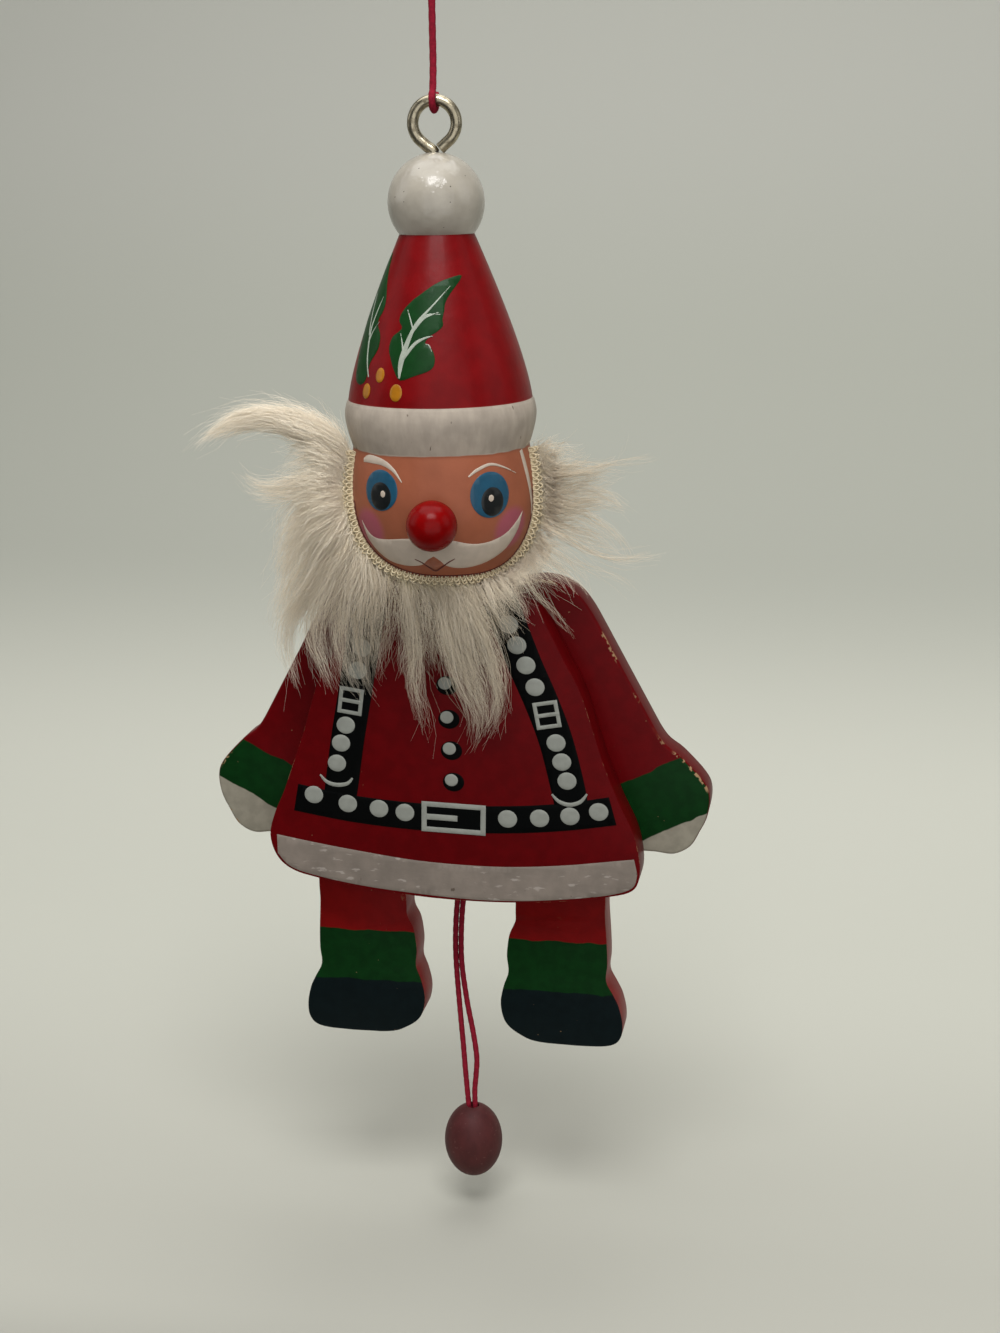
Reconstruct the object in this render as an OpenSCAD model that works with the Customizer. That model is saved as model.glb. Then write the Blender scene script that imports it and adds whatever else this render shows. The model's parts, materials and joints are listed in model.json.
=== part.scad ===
// Pull string jumping jack: a flat painted wooden figure with a turned head and a fur beard.
// The front faces -Y, +Z is up, and the origin is the middle of the hanging eye's ring.

/* [Hanging eye] */
// Thickness of the screw eye's wire
eye_wire = 2.1; // [1.6:0.1:2.6]
// Width of the ring, measured at the middle of its wire
eye_ring = 8.9; // [7.5:0.1:11]
// Length of the shank below the ring
eye_shank = 26; // [22:1:34]
// Angle below level at which the two ends of the wire run together under the ring
eye_lean = 40; // [35:1:46]

/* [Head] */
// Diameter of the ball on top of the hat
ball_d = 19.6; // [16:0.2:24]
// Diameter of the flat where the ball is glued on
ball_seat_d = 15.2; // [10:0.2:15.6]
// Diameter of the face
head_d = 39; // [34:0.5:46]
// Height of the cone of the hat, above its brim
hat_h = 33; // [24:0.5:44]
// Height of the hat's brim
brim_h = 9.6; // [6:0.2:14]
// How far the brim stands out from the face
brim_step = 0.3; // [0.1:0.1:1.2]
// Depth of the groove between the brim and the face
brim_tuck = 1.2; // [0.6:0.1:1.8]
// Height of the face, from the brim to the flat underneath
face_h = 29.6; // [24:0.5:36]
// Height of the rounded lower part of the face
jaw_h = 20; // [14:0.5:22]
// Diameter of the nose
nose_d = 10.2; // [7:0.2:13]
// Diameter of the nose's peg
nose_peg_d = 3; // [2:0.2:4]
// Length of the nose's peg inside the head
nose_peg = 6; // [4:0.5:9]
// Angle by which the face is turned to one side
face_turn = 7; // [-12:1:12]
// Diameter of the neck dowel
dowel_d = 5; // [3:0.2:6]
// Length of the neck dowel in the head
dowel_up = 11; // [7:0.5:15]
// Length of the neck dowel in the coat
dowel_down = 13; // [9:0.5:20]

/* [Coat] */
// Thickness of the coat plate
coat_t = 8; // [6.5:0.5:12]
// Width of the coat at its hem
coat_w = 82.4; // [72:0.5:100]
// Height of the coat plate
coat_h = 70.4; // [64:0.5:84]
// Sideways offset of the coat plate from the head
coat_x = 1; // [0:0.1:2]

/* [Arms] */
// Thickness of the arm and leg plates
limb_t = 8; // [6:0.5:12]
// Room between the coat plate and the limbs behind it
limb_gap = 0.4; // [0.3:0.1:0.8]
// Distance between the two shoulder pivots
shoulder_span = 32; // [28:0.5:36]
// Height of the shoulder pivots below the top of the coat
shoulder_drop = 9.8; // [8.5:0.2:13]
// Length of an arm from its pivot to the tip of the glove
arm_l = 59.4; // [50:0.5:66]
// Width of an arm across its cuff
arm_w = 22.2; // [18:0.2:26]
// Angle of the arms away from straight down, at rest
arm_rest_angle = 27; // [20:1:30]
// Angle through which the arms swing
arm_swing_angle = 70; // [50:1:80]
// Distance from the shoulder pivot to its tack
arm_crank = 7; // [6:0.1:8]

/* [Legs] */
// Distance between the two hip pivots
hip_span = 45.4; // [42:0.5:50]
// Height of the hip pivots above the hem
hip_rise = 16.1; // [13:0.2:20]
// Length of a leg from its pivot to the sole
leg_l = 53; // [44:0.5:64]
// Width of a leg across its boot
leg_w = 27.8; // [24:0.2:31]
// Angle through which the legs swing
leg_swing_angle = 50; // [36:1:56]

/* [Pivots] */
// Diameter of a pivot screw's shank
pivot_d = 2.9; // [2.4:0.1:3.6]
// Room between a pivot screw and the limb that turns on it
pivot_play = 0.06; // [0.03:0.01:0.1]
// Diameter of a pivot screw's head
screw_head_d = 5.6; // [4.8:0.1:7]
// Height of a pivot screw's head
screw_head_h = 1.9; // [1.4:0.1:2.6]
// Depth of a pivot screw in the coat
screw_bite = 5.5; // [4:0.5:6]
// Diameter of the washers
washer_d = 7.4; // [6.4:0.1:9]
// Thickness of the washers
washer_t = 0.6; // [0.4:0.1:1]
// Room between a limb and its washer
washer_play = 0.1; // [0.06:0.02:0.2]
// Diameter of a tack's shank
tack_d = 1.2; // [1:0.1:1.5]
// Diameter of a tack's head
tack_head_d = 4; // [3.4:0.1:4.8]
// Thickness of a tack's head
tack_head_t = 0.7; // [0.5:0.1:1]
// Depth of a tack in its limb
tack_bite = 5; // [3:0.5:5.5]

/* [Beard] */
// Width of the knitted strip
strip_w = 4.8; // [3:0.2:6]
// Thickness of the knitted strip
strip_t = 1; // [0.6:0.1:1.4]
// Thickness of the fur where it is fullest
fur_t = 8; // [4:0.5:12]
// Room between the fur and what it hangs in front of
fur_gap = 0.5; // [0.4:0.1:1]

/* [Cords] */
// Diameter of a strand of the pull cord
cord_d = 1.2; // [1:0.1:1.4]
// Diameter of the knots in the pull cord
knot_d = 3.8; // [3.4:0.1:4.6]
// Height of the knots in the pull cord
knot_h = 3.4; // [2.6:0.1:4.4]
// Diameter of the pull bead
bead_d = 13.6; // [10:0.2:18]
// Length of the pull bead
bead_h = 18; // [13:0.5:24]
// Diameter of the hole through the pull bead
bead_bore = 3; // [2.7:0.1:3.4]
// Distance from the hem to the top of the pull bead
pull_l = 58.3; // [50:0.5:90]
// Diameter of the hanging cord
hang_cord_d = 1.5; // [1.1:0.1:1.8]
// Height of the knot that ends the hanging cord, above the ring's middle
hang_h = 27; // [20:0.5:40]
// Diameter of that knot
hang_knot_d = 4.2; // [3.4:0.1:5]

/* [Hidden] */
$fn = 72;

// Overrun of every cut past the face that it opens
cut = 0.1 * eye_wire;

// Share of the face's radius that is left at the flat underneath, and of its height above the nose
jaw_flat_share = 0.36;
nose_share = 0.435;

// Heights down the figure
eye_drop = (eye_ring + eye_wire) / 2;
ball_z = -eye_drop - ball_d / 2;
ball_flat = sqrt(pow(ball_d, 2) - pow(ball_seat_d, 2)) / 2;
hat_z = ball_z - ball_flat;
brim_z = hat_z - hat_h;
face_z = brim_z - brim_h;
coat_z = face_z - face_h;
hem_z = coat_z - coat_h;
jaw_z = coat_z + jaw_h * sqrt(1 - pow(jaw_flat_share, 2));
nose_z = face_z - nose_share * face_h;
brim_r = head_d / 2 + brim_step;
hat_r = head_d / 2 - 0.4 * brim_tuck;

// The face swells down from the groove to its full width; below that it is a quarter ellipse,
// cut off flat where it stands on the coat
function jaw_r(z) = z > jaw_z ? head_d / 2 - brim_tuck * pow(min(1, (z - jaw_z) / (face_z - jaw_z)), 2)
    : head_d / 2 * sqrt(max(0, 1 - pow((jaw_z - z) / jaw_h, 2)));

// Depths from front to back
coat_back = coat_t / 2;
limb_front = coat_back + limb_gap;
limb_back = limb_front + limb_t;
washer_front = limb_back + washer_play;
screw_seat = washer_front + washer_t;
cord_y = limb_back + cord_d / 4 + cord_d / 2;
tack_seat = cord_y + cord_d / 2 + cord_d / 6;

// Pivots and tacks
shoulder_z = coat_z - shoulder_drop;
hip_z = hem_z + hip_rise;
arm_crank_angle = arm_swing_angle / 2;
leg_crank_angle = leg_swing_angle / 2;
pull_travel = 2 * arm_crank * sin(arm_crank_angle);
leg_crank = pull_travel / (2 * sin(leg_crank_angle));
function shoulder(side) = [coat_x + side * shoulder_span / 2, shoulder_z];
function hip(side) = [coat_x + side * hip_span / 2, hip_z];

// Loops of the cross cords round the tacks, centred on each tack's path from side to side
loop_r = tack_d / 2 + arm_crank * (1 - cos(arm_crank_angle)) / 2 + 0.77 * cord_d;
arm_loop_x = shoulder_span / 2 - arm_crank * (1 + cos(arm_crank_angle)) / 2;
leg_loop_x = hip_span / 2 - leg_crank * (1 + cos(leg_crank_angle)) / 2;
arm_loop_z = shoulder_z + arm_crank * sin(arm_crank_angle);
leg_loop_z = hip_z + leg_crank * sin(leg_crank_angle);
arm_knot_z = arm_loop_z - knot_h * 0.6;
leg_knot_z = leg_loop_z - knot_h * 0.75;
bead_z = hem_z - pull_l - bead_h / 2;
bead_knot_z = bead_z - 0.5 * bead_h + knot_h * 0.55;

// Shapes that a smooth line through a few points gives
function between(a, b, c, d, t) =
    0.5 * (2 * b + (c - a) * t + (2 * a - 5 * b + 4 * c - d) * t * t + (3 * b - a - 3 * c + d) * t * t * t);
function closed_curve(p, steps) = let (n = len(p))
    [for (i = [0 : n - 1]) for (s = [0 : steps - 1])
        between(p[(i + n - 1) % n], p[i], p[(i + 1) % n], p[(i + 2) % n], s / steps)];
function open_curve(p, steps) = let (n = len(p))
    [for (i = [0 : n - 2]) for (s = [0 : (i == n - 2 ? steps : steps - 1)])
        between(p[max(i - 1, 0)], p[i], p[i + 1], p[min(i + 2, n - 1)], s / steps)];

// Coat outline, as shares of its half width and height, from the top clockwise as seen from the front
coat_shares = [[0.194, 0], [0.34, 0.027], [0.437, 0.058], [0.493, 0.084], [0.604, 0.213], [0.694, 0.317],
    [0.777, 0.473], [0.825, 0.558], [0.893, 0.658], [0.961, 0.743], [0.993, 0.814], [1, 0.885],
    [0.961, 0.936], [0.825, 0.961], [0.57, 0.984], [0.29, 0.997], [0, 0.998], [-0.243, 0.99],
    [-0.5, 0.974], [-0.755, 0.948], [-0.886, 0.924], [-0.962, 0.882], [-0.994, 0.814], [-0.964, 0.743],
    [-0.9, 0.658], [-0.838, 0.558], [-0.784, 0.473], [-0.7, 0.317], [-0.604, 0.213], [-0.493, 0.084],
    [-0.437, 0.058], [-0.34, 0.027], [-0.194, 0]];
// Arm outline, as shares of its width and length: outwards and down from the shoulder pivot
arm_shares = [[0.617, 0.054], [0.622, 0.25], [0.64, 0.47], [0.662, 0.6], [0.752, 0.677], [0.838, 0.79],
    [0.824, 0.853], [0.712, 0.917], [0.57, 0.96], [0.42, 0.996], [0.243, 0.998], [0.086, 0.963],
    [-0.08, 0.925], [-0.16, 0.86], [-0.15, 0.79], [-0.085, 0.67], [-0.072, 0.47], [-0.08, 0.25],
    [-0.14, 0.1], [-0.225, 0], [-0.285, -0.067], [-0.27, -0.13], [-0.113, -0.165], [0.135, -0.152],
    [0.37, -0.118], [0.545, -0.05]];
// Leg outline, as shares of half its width and of its length: outwards and down from the hip pivot
leg_shares = [[0.72, 0.08], [0.72, 0.32], [0.712, 0.4], [0.74, 0.53], [0.748, 0.62], [0.73, 0.695],
    [0.85, 0.76], [0.935, 0.81], [0.993, 0.885], [0.965, 0.95], [0.8, 0.989], [0.36, 1], [-0.36, 0.996],
    [-0.68, 0.968], [-0.92, 0.915], [-1, 0.83], [-0.945, 0.745], [-0.865, 0.68], [-0.885, 0.6],
    [-0.84, 0.51], [-0.742, 0.45], [-0.734, 0.38], [-0.72, 0.1], [-0.85, -0.03], [-0.79, -0.13],
    [-0.45, -0.18], [0, -0.19], [0.43, -0.157], [0.68, -0.066]];
outline_steps = 5;

// A plate cut from an outline in the XZ plane, from the depth y to y + t
module plate(points, y, t)
    translate([0, y + t, 0]) rotate([90, 0, 0]) linear_extrude(t) polygon(points);

// A round bar along Y, from the depth y to y + l, centred at p = [x, z]
module bar(p, d, y, l) translate([p[0], y + l, p[1]]) rotate([90, 0, 0]) cylinder(d = d, h = l);

// Tubes: a ring of points round each point of a route, square to the route
function unit(v) = v / norm(v);
function ahead(p, i) = unit(p[min(i + 1, len(p) - 1)] - p[max(i - 1, 0)]);
function side_way(p, i, up) = unit(cross(ahead(p, i), up));
module tube(p, d, up, sides = 8) {
    n = len(p);
    rings = [for (i = [0 : n - 1]) let (u = side_way(p, i, up), w = cross(u, ahead(p, i)))
        for (k = [0 : sides - 1]) p[i] + d / 2 * (cos(360 * k / sides) * u + sin(360 * k / sides) * w)];
    skin = [for (i = [0 : n - 2]) for (k = [0 : sides - 1])
        let (a = i * sides + k, b = i * sides + (k + 1) % sides)
        each [[a, a + sides, b], [b, a + sides, b + sides]]];
    first = [for (k = [1 : sides - 2]) [0, k, k + 1]];
    last = [for (k = [1 : sides - 2]) [(n - 1) * sides, (n - 1) * sides + k + 1, (n - 1) * sides + k]];
    polyhedron(rings, concat(skin, first, last));
}

// A closed skin over a grid of front points and the matching grid of back points
module quilt(front, back) {
    n = len(front);
    m = len(front[0]);
    points = concat([for (r = front) each r], [for (r = back) each r]);
    o = n * m;
    faces = concat(
        [for (i = [0 : n - 2]) for (j = [0 : m - 2]) let (a = i * m + j)
            each [[a, a + 1, a + m], [a + 1, a + m + 1, a + m]]],
        [for (i = [0 : n - 2]) for (j = [0 : m - 2]) let (a = o + i * m + j)
            each [[a, a + m, a + 1], [a + 1, a + m, a + m + 1]]],
        [for (i = [0 : n - 2]) let (a = i * m, b = a + m) each [[a, b, o + a], [b, o + b, o + a]]],
        [for (i = [0 : n - 2]) let (a = i * m + m - 1, b = a + m) each [[a, o + a, b], [b, o + a, o + b]]],
        [for (j = [0 : m - 2]) let (a = j, b = a + 1) each [[a, o + a, b], [b, o + a, o + b]]],
        [for (j = [0 : m - 2]) let (a = (n - 1) * m + j, b = a + 1) each [[a, b, o + a], [b, o + b, o + a]]]);
    polyhedron(points, faces);
}

// The eye is one bent wire: its shank bends into a straight run, goes round the ring, and comes back
// in a second straight run that stops just short of the first. Bending draws the runs a little thinner
eye_gap = 0.08 * eye_wire;
eye_run_wire = 0.96 * eye_wire;
eye_low = eye_ring / 2 / cos(eye_lean);
eye_run = eye_ring / 2 * tan(eye_lean);
eye_stop = (eye_wire / 2 * (1 + cos(2 * eye_lean)) + eye_gap) / sin(2 * eye_lean);
module eye_shank_bar(top) translate([0, 0, -eye_ring / 2 - eye_shank])
    cylinder(d = eye_wire, h = eye_shank + eye_ring / 2 + top);
module eye_run_bar(side, run) translate([side * eye_ring / 2 * sin(eye_lean), 0, -eye_ring / 2 * cos(eye_lean)])
    rotate([0, -side * (90 + eye_lean), 0]) translate([0, 0, -cut]) cylinder(d = eye_run_wire, h = run + cut);
module eye_bends() {
    eye_run_bar(-1, eye_run);
    eye_run_bar(1, eye_run - eye_stop);
    translate([0, 0, -eye_low]) sphere(d = eye_wire);
    eye_shank_bar(-eye_low);
}
module screw_eye() color("#9a9284") {
    rotate([90, 0, 0]) rotate([0, 0, eye_lean - 90]) rotate_extrude(angle = 360 - 2 * eye_lean)
        translate([eye_ring / 2, 0]) circle(d = eye_wire);
    eye_bends();
}

// The wire's two runs press into the ball around its hole
module pompom_ball() color("#e6e2da") difference() {
    translate([0, 0, ball_z]) sphere(d = ball_d);
    translate([0, 0, hat_z - ball_d]) cylinder(d = 2 * ball_d, h = ball_d);
    eye_bends();
}

// Turned profile: the hat swells towards its brim, which is widest near its top, as shares of the way
// from the groove's radius to the brim's and of the brim's height
brim_shares = [[0.7, 0.05], [0.89, 0.16], [1, 0.29], [0.95, 0.43],
    [0.8, 0.57], [0.57, 0.72], [0.3, 0.86], [0, 1]];
groove_r = head_d / 2 - brim_tuck;
function hat_point(t) = let (top = [ball_seat_d / 2, hat_z], low = [hat_r, brim_z],
    mid = [0.908 * head_d / 2, hat_z - 0.71 * hat_h])
    (1 - t) * (1 - t) * top + 2 * t * (1 - t) * mid + t * t * low;
head_profile = let (steps = 12, swell = 5) concat(
    [[0, hat_z]], [for (i = [0 : steps]) hat_point(i / steps)],
    [for (s = brim_shares) [groove_r + s[0] * (brim_r - groove_r), brim_z - s[1] * brim_h]],
    [for (i = [1 : swell - 1]) let (z = face_z + i / swell * (jaw_z - face_z)) [jaw_r(z), z]],
    [for (i = [0 : steps]) let (a = i / steps * acos(jaw_flat_share))
        [head_d / 2 * cos(a), jaw_z - jaw_h * sin(a)]],
    [[0, coat_z]]);
nose_lift = 0.42 * nose_d;
module nose_hole(fit) rotate([0, 0, face_turn]) translate([0, 0, nose_z]) rotate([90, 0, 0])
    translate([0, 0, head_d / 2 - nose_peg]) cylinder(d = nose_peg_d, h = nose_peg + fit);
module head() color("#a3161c") difference() {
    rotate_extrude() polygon(head_profile);
    eye_shank_bar(-eye_low);
    translate([0, 0, coat_z - cut]) cylinder(d = dowel_d, h = dowel_up + cut);
    nose_hole(cut);
}
module nose() color("#c8101a") difference() {
    union() {
        rotate([0, 0, face_turn]) translate([0, -head_d / 2 - nose_lift, nose_z]) sphere(d = nose_d);
        nose_hole(0);
    }
    difference() {
        translate([0, 0, nose_z - nose_d]) cylinder(d = head_d, h = 2 * nose_d);
        nose_hole(cut);
    }
}
module neck_dowel() color("#c9a877")
    translate([0, 0, coat_z - dowel_down]) cylinder(d = dowel_d, h = dowel_up + dowel_down);

coat_outline = [for (s = closed_curve(coat_shares, outline_steps))
    [coat_x + s[0] * coat_w / 2, coat_z - max(0, s[1]) * coat_h]];
module coat_plate() color("#b0151b") difference() {
    plate(coat_outline, -coat_t / 2, coat_t);
    translate([0, 0, coat_z - dowel_down]) cylinder(d = dowel_d, h = dowel_down + cut);
    for (side = [-1, 1]) {
        bar(shoulder(side), pivot_d, coat_back - screw_bite, screw_bite + cut);
        bar(hip(side), pivot_d, coat_back - screw_bite, screw_bite + cut);
    }
}

// Points of a limb: side is -1 on the left and 1 on the right, tilt is away from straight down
function limb_point(pivot, side, out, down, tilt) =
    [pivot[0] + side * (out * cos(tilt) + down * sin(tilt)), pivot[1] + out * sin(tilt) - down * cos(tilt)];
function tack_point(pivot, side, crank, up) = [pivot[0] - side * crank * cos(up), pivot[1] + crank * sin(up)];
function arm_tack(side) = tack_point(shoulder(side), side, arm_crank, arm_crank_angle);
function leg_tack(side) = tack_point(hip(side), side, leg_crank, leg_crank_angle);
module limb(points, pivot, tack) difference() {
    plate(points, limb_front, limb_t);
    bar(pivot, pivot_d + 2 * pivot_play, limb_front - cut, limb_t + 2 * cut);
    bar(tack, tack_d, limb_back - tack_bite, tack_bite + cut);
}
module arm(side) color("#a3161c") limb(
    [for (s = closed_curve(arm_shares, outline_steps))
        limb_point(shoulder(side), side, s[0] * arm_w, s[1] * arm_l, arm_rest_angle)],
    shoulder(side), arm_tack(side));
module leg(side) color("#1f2226") limb(
    [for (s = closed_curve(leg_shares, outline_steps))
        limb_point(hip(side), side, s[0] * leg_w / 2, s[1] * leg_l, 0)],
    hip(side), leg_tack(side));
module left_arm() arm(-1);
module right_arm() arm(1);
module left_leg() leg(-1);
module right_leg() leg(1);

// Round-headed screw, driven from the back, with a slot across its head
screw_crown = 0.85 * screw_head_h;
screw_dome_r = (pow(screw_head_d / 2, 2) + pow(screw_crown, 2)) / (2 * screw_crown);
module pivot_screw(p) color("#8f8c84") difference() {
    union() {
        bar(p, pivot_d, coat_back - screw_bite, screw_bite + screw_seat - coat_back);
        translate([p[0], screw_seat, p[1]]) rotate([-90, 0, 0]) intersection() {
            cylinder(d = screw_head_d, h = screw_head_h);
            translate([0, 0, screw_head_h - screw_dome_r]) sphere(r = screw_dome_r);
        }
    }
    translate([p[0], screw_seat + screw_head_h, p[1]]) rotate([0, 30, 0])
        cube([2 * screw_head_d, screw_head_h, 0.35 * screw_head_h], center = true);
}
module washer(p) color("#b7b4aa") difference() {
    bar(p, washer_d, washer_front, washer_t);
    bar(p, pivot_d, washer_front - cut, washer_t + 2 * cut);
}
module tack(p) color("#b08a3e") {
    bar(p, tack_d, limb_back - tack_bite, tack_bite + tack_seat - limb_back);
    bar(p, tack_head_d, tack_seat, tack_head_t);
}
module left_shoulder_screw() pivot_screw(shoulder(-1));
module right_shoulder_screw() pivot_screw(shoulder(1));
module left_hip_screw() pivot_screw(hip(-1));
module right_hip_screw() pivot_screw(hip(1));
module shoulder_washers() for (side = [-1, 1]) washer(shoulder(side));
module hip_washers() for (side = [-1, 1]) washer(hip(side));
module left_arm_tack() tack(arm_tack(-1));
module right_arm_tack() tack(arm_tack(1));
module left_leg_tack() tack(leg_tack(-1));
module right_leg_tack() tack(leg_tack(1));

// Knitted strip: its inner edge on the face, as [angle round the head, share of the face's height]
strip_shares = [[-60, 0.03], [-60, 0.23], [-57, 0.4], [-52, 0.6], [-43, 0.73], [-31, 0.805], [-13, 0.85],
    [8, 0.865], [31, 0.868], [52, 0.862], [70, 0.825], [80, 0.75], [85, 0.59], [86, 0.33], [87, 0.03]];
strip_steps = 3;
strip_line = open_curve(strip_shares, strip_steps);
// A point on the head's skin, lifted off it, at an angle from the front and a height
function on_face(a, z, lift) = let (r = jaw_r(z) + lift) [r * sin(a), -r * cos(a), z];
// The outer edge lies below the inner one under the chin, and behind it at the temples
function strip_way(i) = let (p = strip_line[min(i + 1, len(strip_line) - 1)], q = strip_line[max(i - 1, 0)],
    r = jaw_r(face_z - strip_line[i][1] * face_h), turn = (p[0] - q[0]) * PI / 180 * r,
    fall = (p[1] - q[1]) * face_h * head_d / 2 / r) unit([turn, fall]);
function strip_point(i, w, lift) = let (s = strip_line[i], d = strip_way(i),
    z0 = face_z - s[1] * face_h, r = jaw_r(z0),
    z = z0 - d[0] * w * strip_w * r / head_d * 2, a = s[0] - d[1] * w * strip_w * 180 / PI / r)
    on_face(a, z, lift);
module beard_strip() color("#d9d0b8") quilt(
    [for (i = [0 : len(strip_line) - 1]) [for (w = [0, 0.5, 1]) strip_point(i, w, strip_t + cut / 2)]],
    [for (i = [0 : len(strip_line) - 1]) [for (w = [0, 0.5, 1]) strip_point(i, w, cut / 2)]]);

// Ends of the locks, from the left temple under the chin to the right: shares of the head's radius
// outwards, and of the coat's height below the brim
lock_shares = [[-1.2, -0.08], [-1.85, -0.04], [-1.6, 0.05], [-2.05, 0.08], [-1.7, 0.17], [-1.9, 0.28],
    [-1.65, 0.37], [-1.82, 0.51], [-1.5, 0.48], [-1.56, 0.72], [-1.25, 0.6], [-1.09, 0.77], [-0.75, 0.65],
    [-0.5, 0.77], [-0.22, 0.68], [-0.13, 0.89], [0.08, 0.75], [0.28, 0.9], [0.47, 0.78], [0.72, 0.84],
    [0.95, 0.62], [1.15, 0.63], [1.5, 0.54], [1.46, 0.43], [1.75, 0.4], [1.6, 0.28], [2.2, 0.3],
    [1.75, 0.17], [2.2, 0.11], [1.75, 0.03], [1.9, -0.07], [1.25, -0.08]];
lock_steps = 2;
lock_line = open_curve(lock_shares, lock_steps);
fur_rows = 7;
// Depth that clears the head, the brim and the coat at a place seen from the front
function backing(x, z) = let (r = z > face_z - brim_h / 3 ? brim_r : jaw_r(z + strip_w / 3) + strip_t)
    max(coat_t / 2 + fur_gap, sqrt(max(0, pow(r + fur_gap, 2) - x * x)));
function fur_root(i) = let (k = i / (len(lock_line) - 1) * (len(strip_line) - 1), a = floor(k),
    b = min(a + 1, len(strip_line) - 1), lift = strip_t + fur_gap,
    p = strip_point(a, 0.5, lift), q = strip_point(b, 0.5, lift))
    p + (q - p) * (k - a);
function fur_place(i, v) = let (p = fur_root(i), s = lock_line[i], x = s[0] * head_d / 2,
    z = face_z - s[1] * coat_h) [p[0] + (x - p[0]) * v, p[2] + (z - p[2]) * v];
function fur_depth(v) = fur_t * (0.16 + 0.84 * pow(sin(180 * pow(v, 0.6)), 0.8)) * (1 - 0.4 * v);
function fur_point(i, j, front) = let (v = j / fur_rows, p = fur_place(i, v), y = backing(p[0], p[1]))
    [p[0], -y - (front ? fur_depth(v) : 0), p[1]];
module beard_fur() color("#d9d2bf") quilt(
    [for (i = [0 : len(lock_line) - 1]) [for (j = [0 : fur_rows]) fur_point(i, j, true)]],
    [for (i = [0 : len(lock_line) - 1]) [for (j = [0 : fur_rows]) fur_point(i, j, false)]]);

// Cross cords: each half runs from the knot in the middle to a loop round its tack
loop_steps = 10;
loop_angle = 330;
function half_places(loop_x, loop_z, knot_z) = let (reach = knot_d / 2 + cord_d / 8) concat(
    [for (s = [0, 0.5]) [reach + s * (loop_x - loop_r - reach), knot_z + pow(s, 2) * (loop_z - knot_z)]],
    [for (i = [0 : loop_steps]) let (a = 180 + loop_angle * i / loop_steps)
        [loop_x + loop_r * cos(a), loop_z + loop_r * sin(a)]]);
function half_route(side, loop_x, loop_z, knot_z) =
    [for (p = half_places(loop_x, loop_z, knot_z)) [coat_x + side * p[0], cord_y, p[1]]];
module arm_cord() color("#a83248") for (side = [-1, 1])
    tube(half_route(side, arm_loop_x, arm_loop_z, arm_knot_z), cord_d, [0, 1, 0]);
module leg_cord() color("#a83248") for (side = [-1, 1])
    tube(half_route(side, leg_loop_x, leg_loop_z, leg_knot_z), cord_d, [0, 1, 0]);
module link_cord() color("#a83248") tube(
    [for (s = [0, 0.5, 1]) [coat_x, cord_y, arm_knot_z - knot_h / 2
        + s * (leg_knot_z + knot_h - arm_knot_z)]], cord_d, [0, 1, 0]);

// A knot: a rounded barrel with flat ends that the strands meet
module barrel(d, h) rotate_extrude() polygon(concat([[0, -h / 2]],
    [for (a = [-60 : 15 : 60]) [d / 2 * (0.3 + 0.7 * cos(a)), h / 2 * sin(a) / sin(60)]], [[0, h / 2]]));
module cord_knot(z) translate([coat_x, cord_y, z]) barrel(knot_d, knot_h);
module arm_knot() color("#9c2a40") cord_knot(arm_knot_z);
module leg_knot() color("#9c2a40") cord_knot(leg_knot_z);

// Pull strands: sideways in strand diameters, and down in shares of the drop between their two knots
left_shares = [[-0.52, 0], [-0.9, 0.12], [-2.3, 0.27], [-2.75, 0.36], [-2.7, 0.44], [-2.2, 0.56],
    [-1.7, 0.66], [-1.35, 0.74], [-1.05, 0.8], [-0.75, 0.86], [-0.6, 0.93], [-0.6, 1]];
right_shares = [[0.52, 0], [0.15, 0.12], [-1.2, 0.27], [-1.65, 0.36], [-1.6, 0.44], [-0.75, 0.54],
    [0.35, 0.63], [0.95, 0.7], [0.75, 0.75], [0.42, 0.8], [0.5, 0.88], [0.5, 1]];
strand_top = leg_knot_z - knot_h / 2;
strand_low = bead_knot_z + knot_h / 2;
function strand_route(shares) =
    [for (s = shares) [coat_x + s[0] * cord_d, cord_y, strand_top + s[1] * (strand_low - strand_top)]];
module pull_cord_left() color("#a83248") tube(strand_route(left_shares), cord_d, [0, 1, 0]);
module pull_cord_right() color("#a83248") tube(strand_route(right_shares), cord_d, [0, 1, 0]);
module pull_bead() color("#6e1f2a") translate([coat_x, cord_y, bead_z]) difference() {
    rotate_extrude() polygon([for (a = [-90 : 7.5 : 90]) [bead_d / 2 * cos(a), bead_h / 2 * sin(a)]]);
    translate([0, 0, -bead_h]) cylinder(d = bead_bore, h = 2 * bead_h);
    translate([0, 0, bead_knot_z + knot_h / 2 - bead_z - bead_h])
        cylinder(d = knot_d + cord_d / 3, h = bead_h);
}
module bead_knot() color("#9c2a40") translate([coat_x, cord_y, bead_knot_z]) barrel(knot_d, knot_h);

// Hanging cord: round the wire at the top of the ring, then straight up to its knot
hang_loop_r = (eye_wire + hang_cord_d) / 2 + hang_cord_d / 10;
hang_route = concat(
    [for (a = [50 : 28 : 330]) [0, hang_loop_r * sin(a), eye_ring / 2 + hang_loop_r * cos(a)]],
    [for (s = [0.32, 0.45, 0.7, 1]) [0, s < 0.4 ? -hang_loop_r / 5 : 0, s * hang_h]]);
module hanging_cord() color("#a83248") tube(hang_route, hang_cord_d, [1, 0, 0]);
hang_knot_h = 0.9 * hang_knot_d;
module hanging_knot() color("#9c2a40") translate([0, 0, hang_h + hang_knot_h / 2])
    barrel(hang_knot_d, hang_knot_h);

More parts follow.
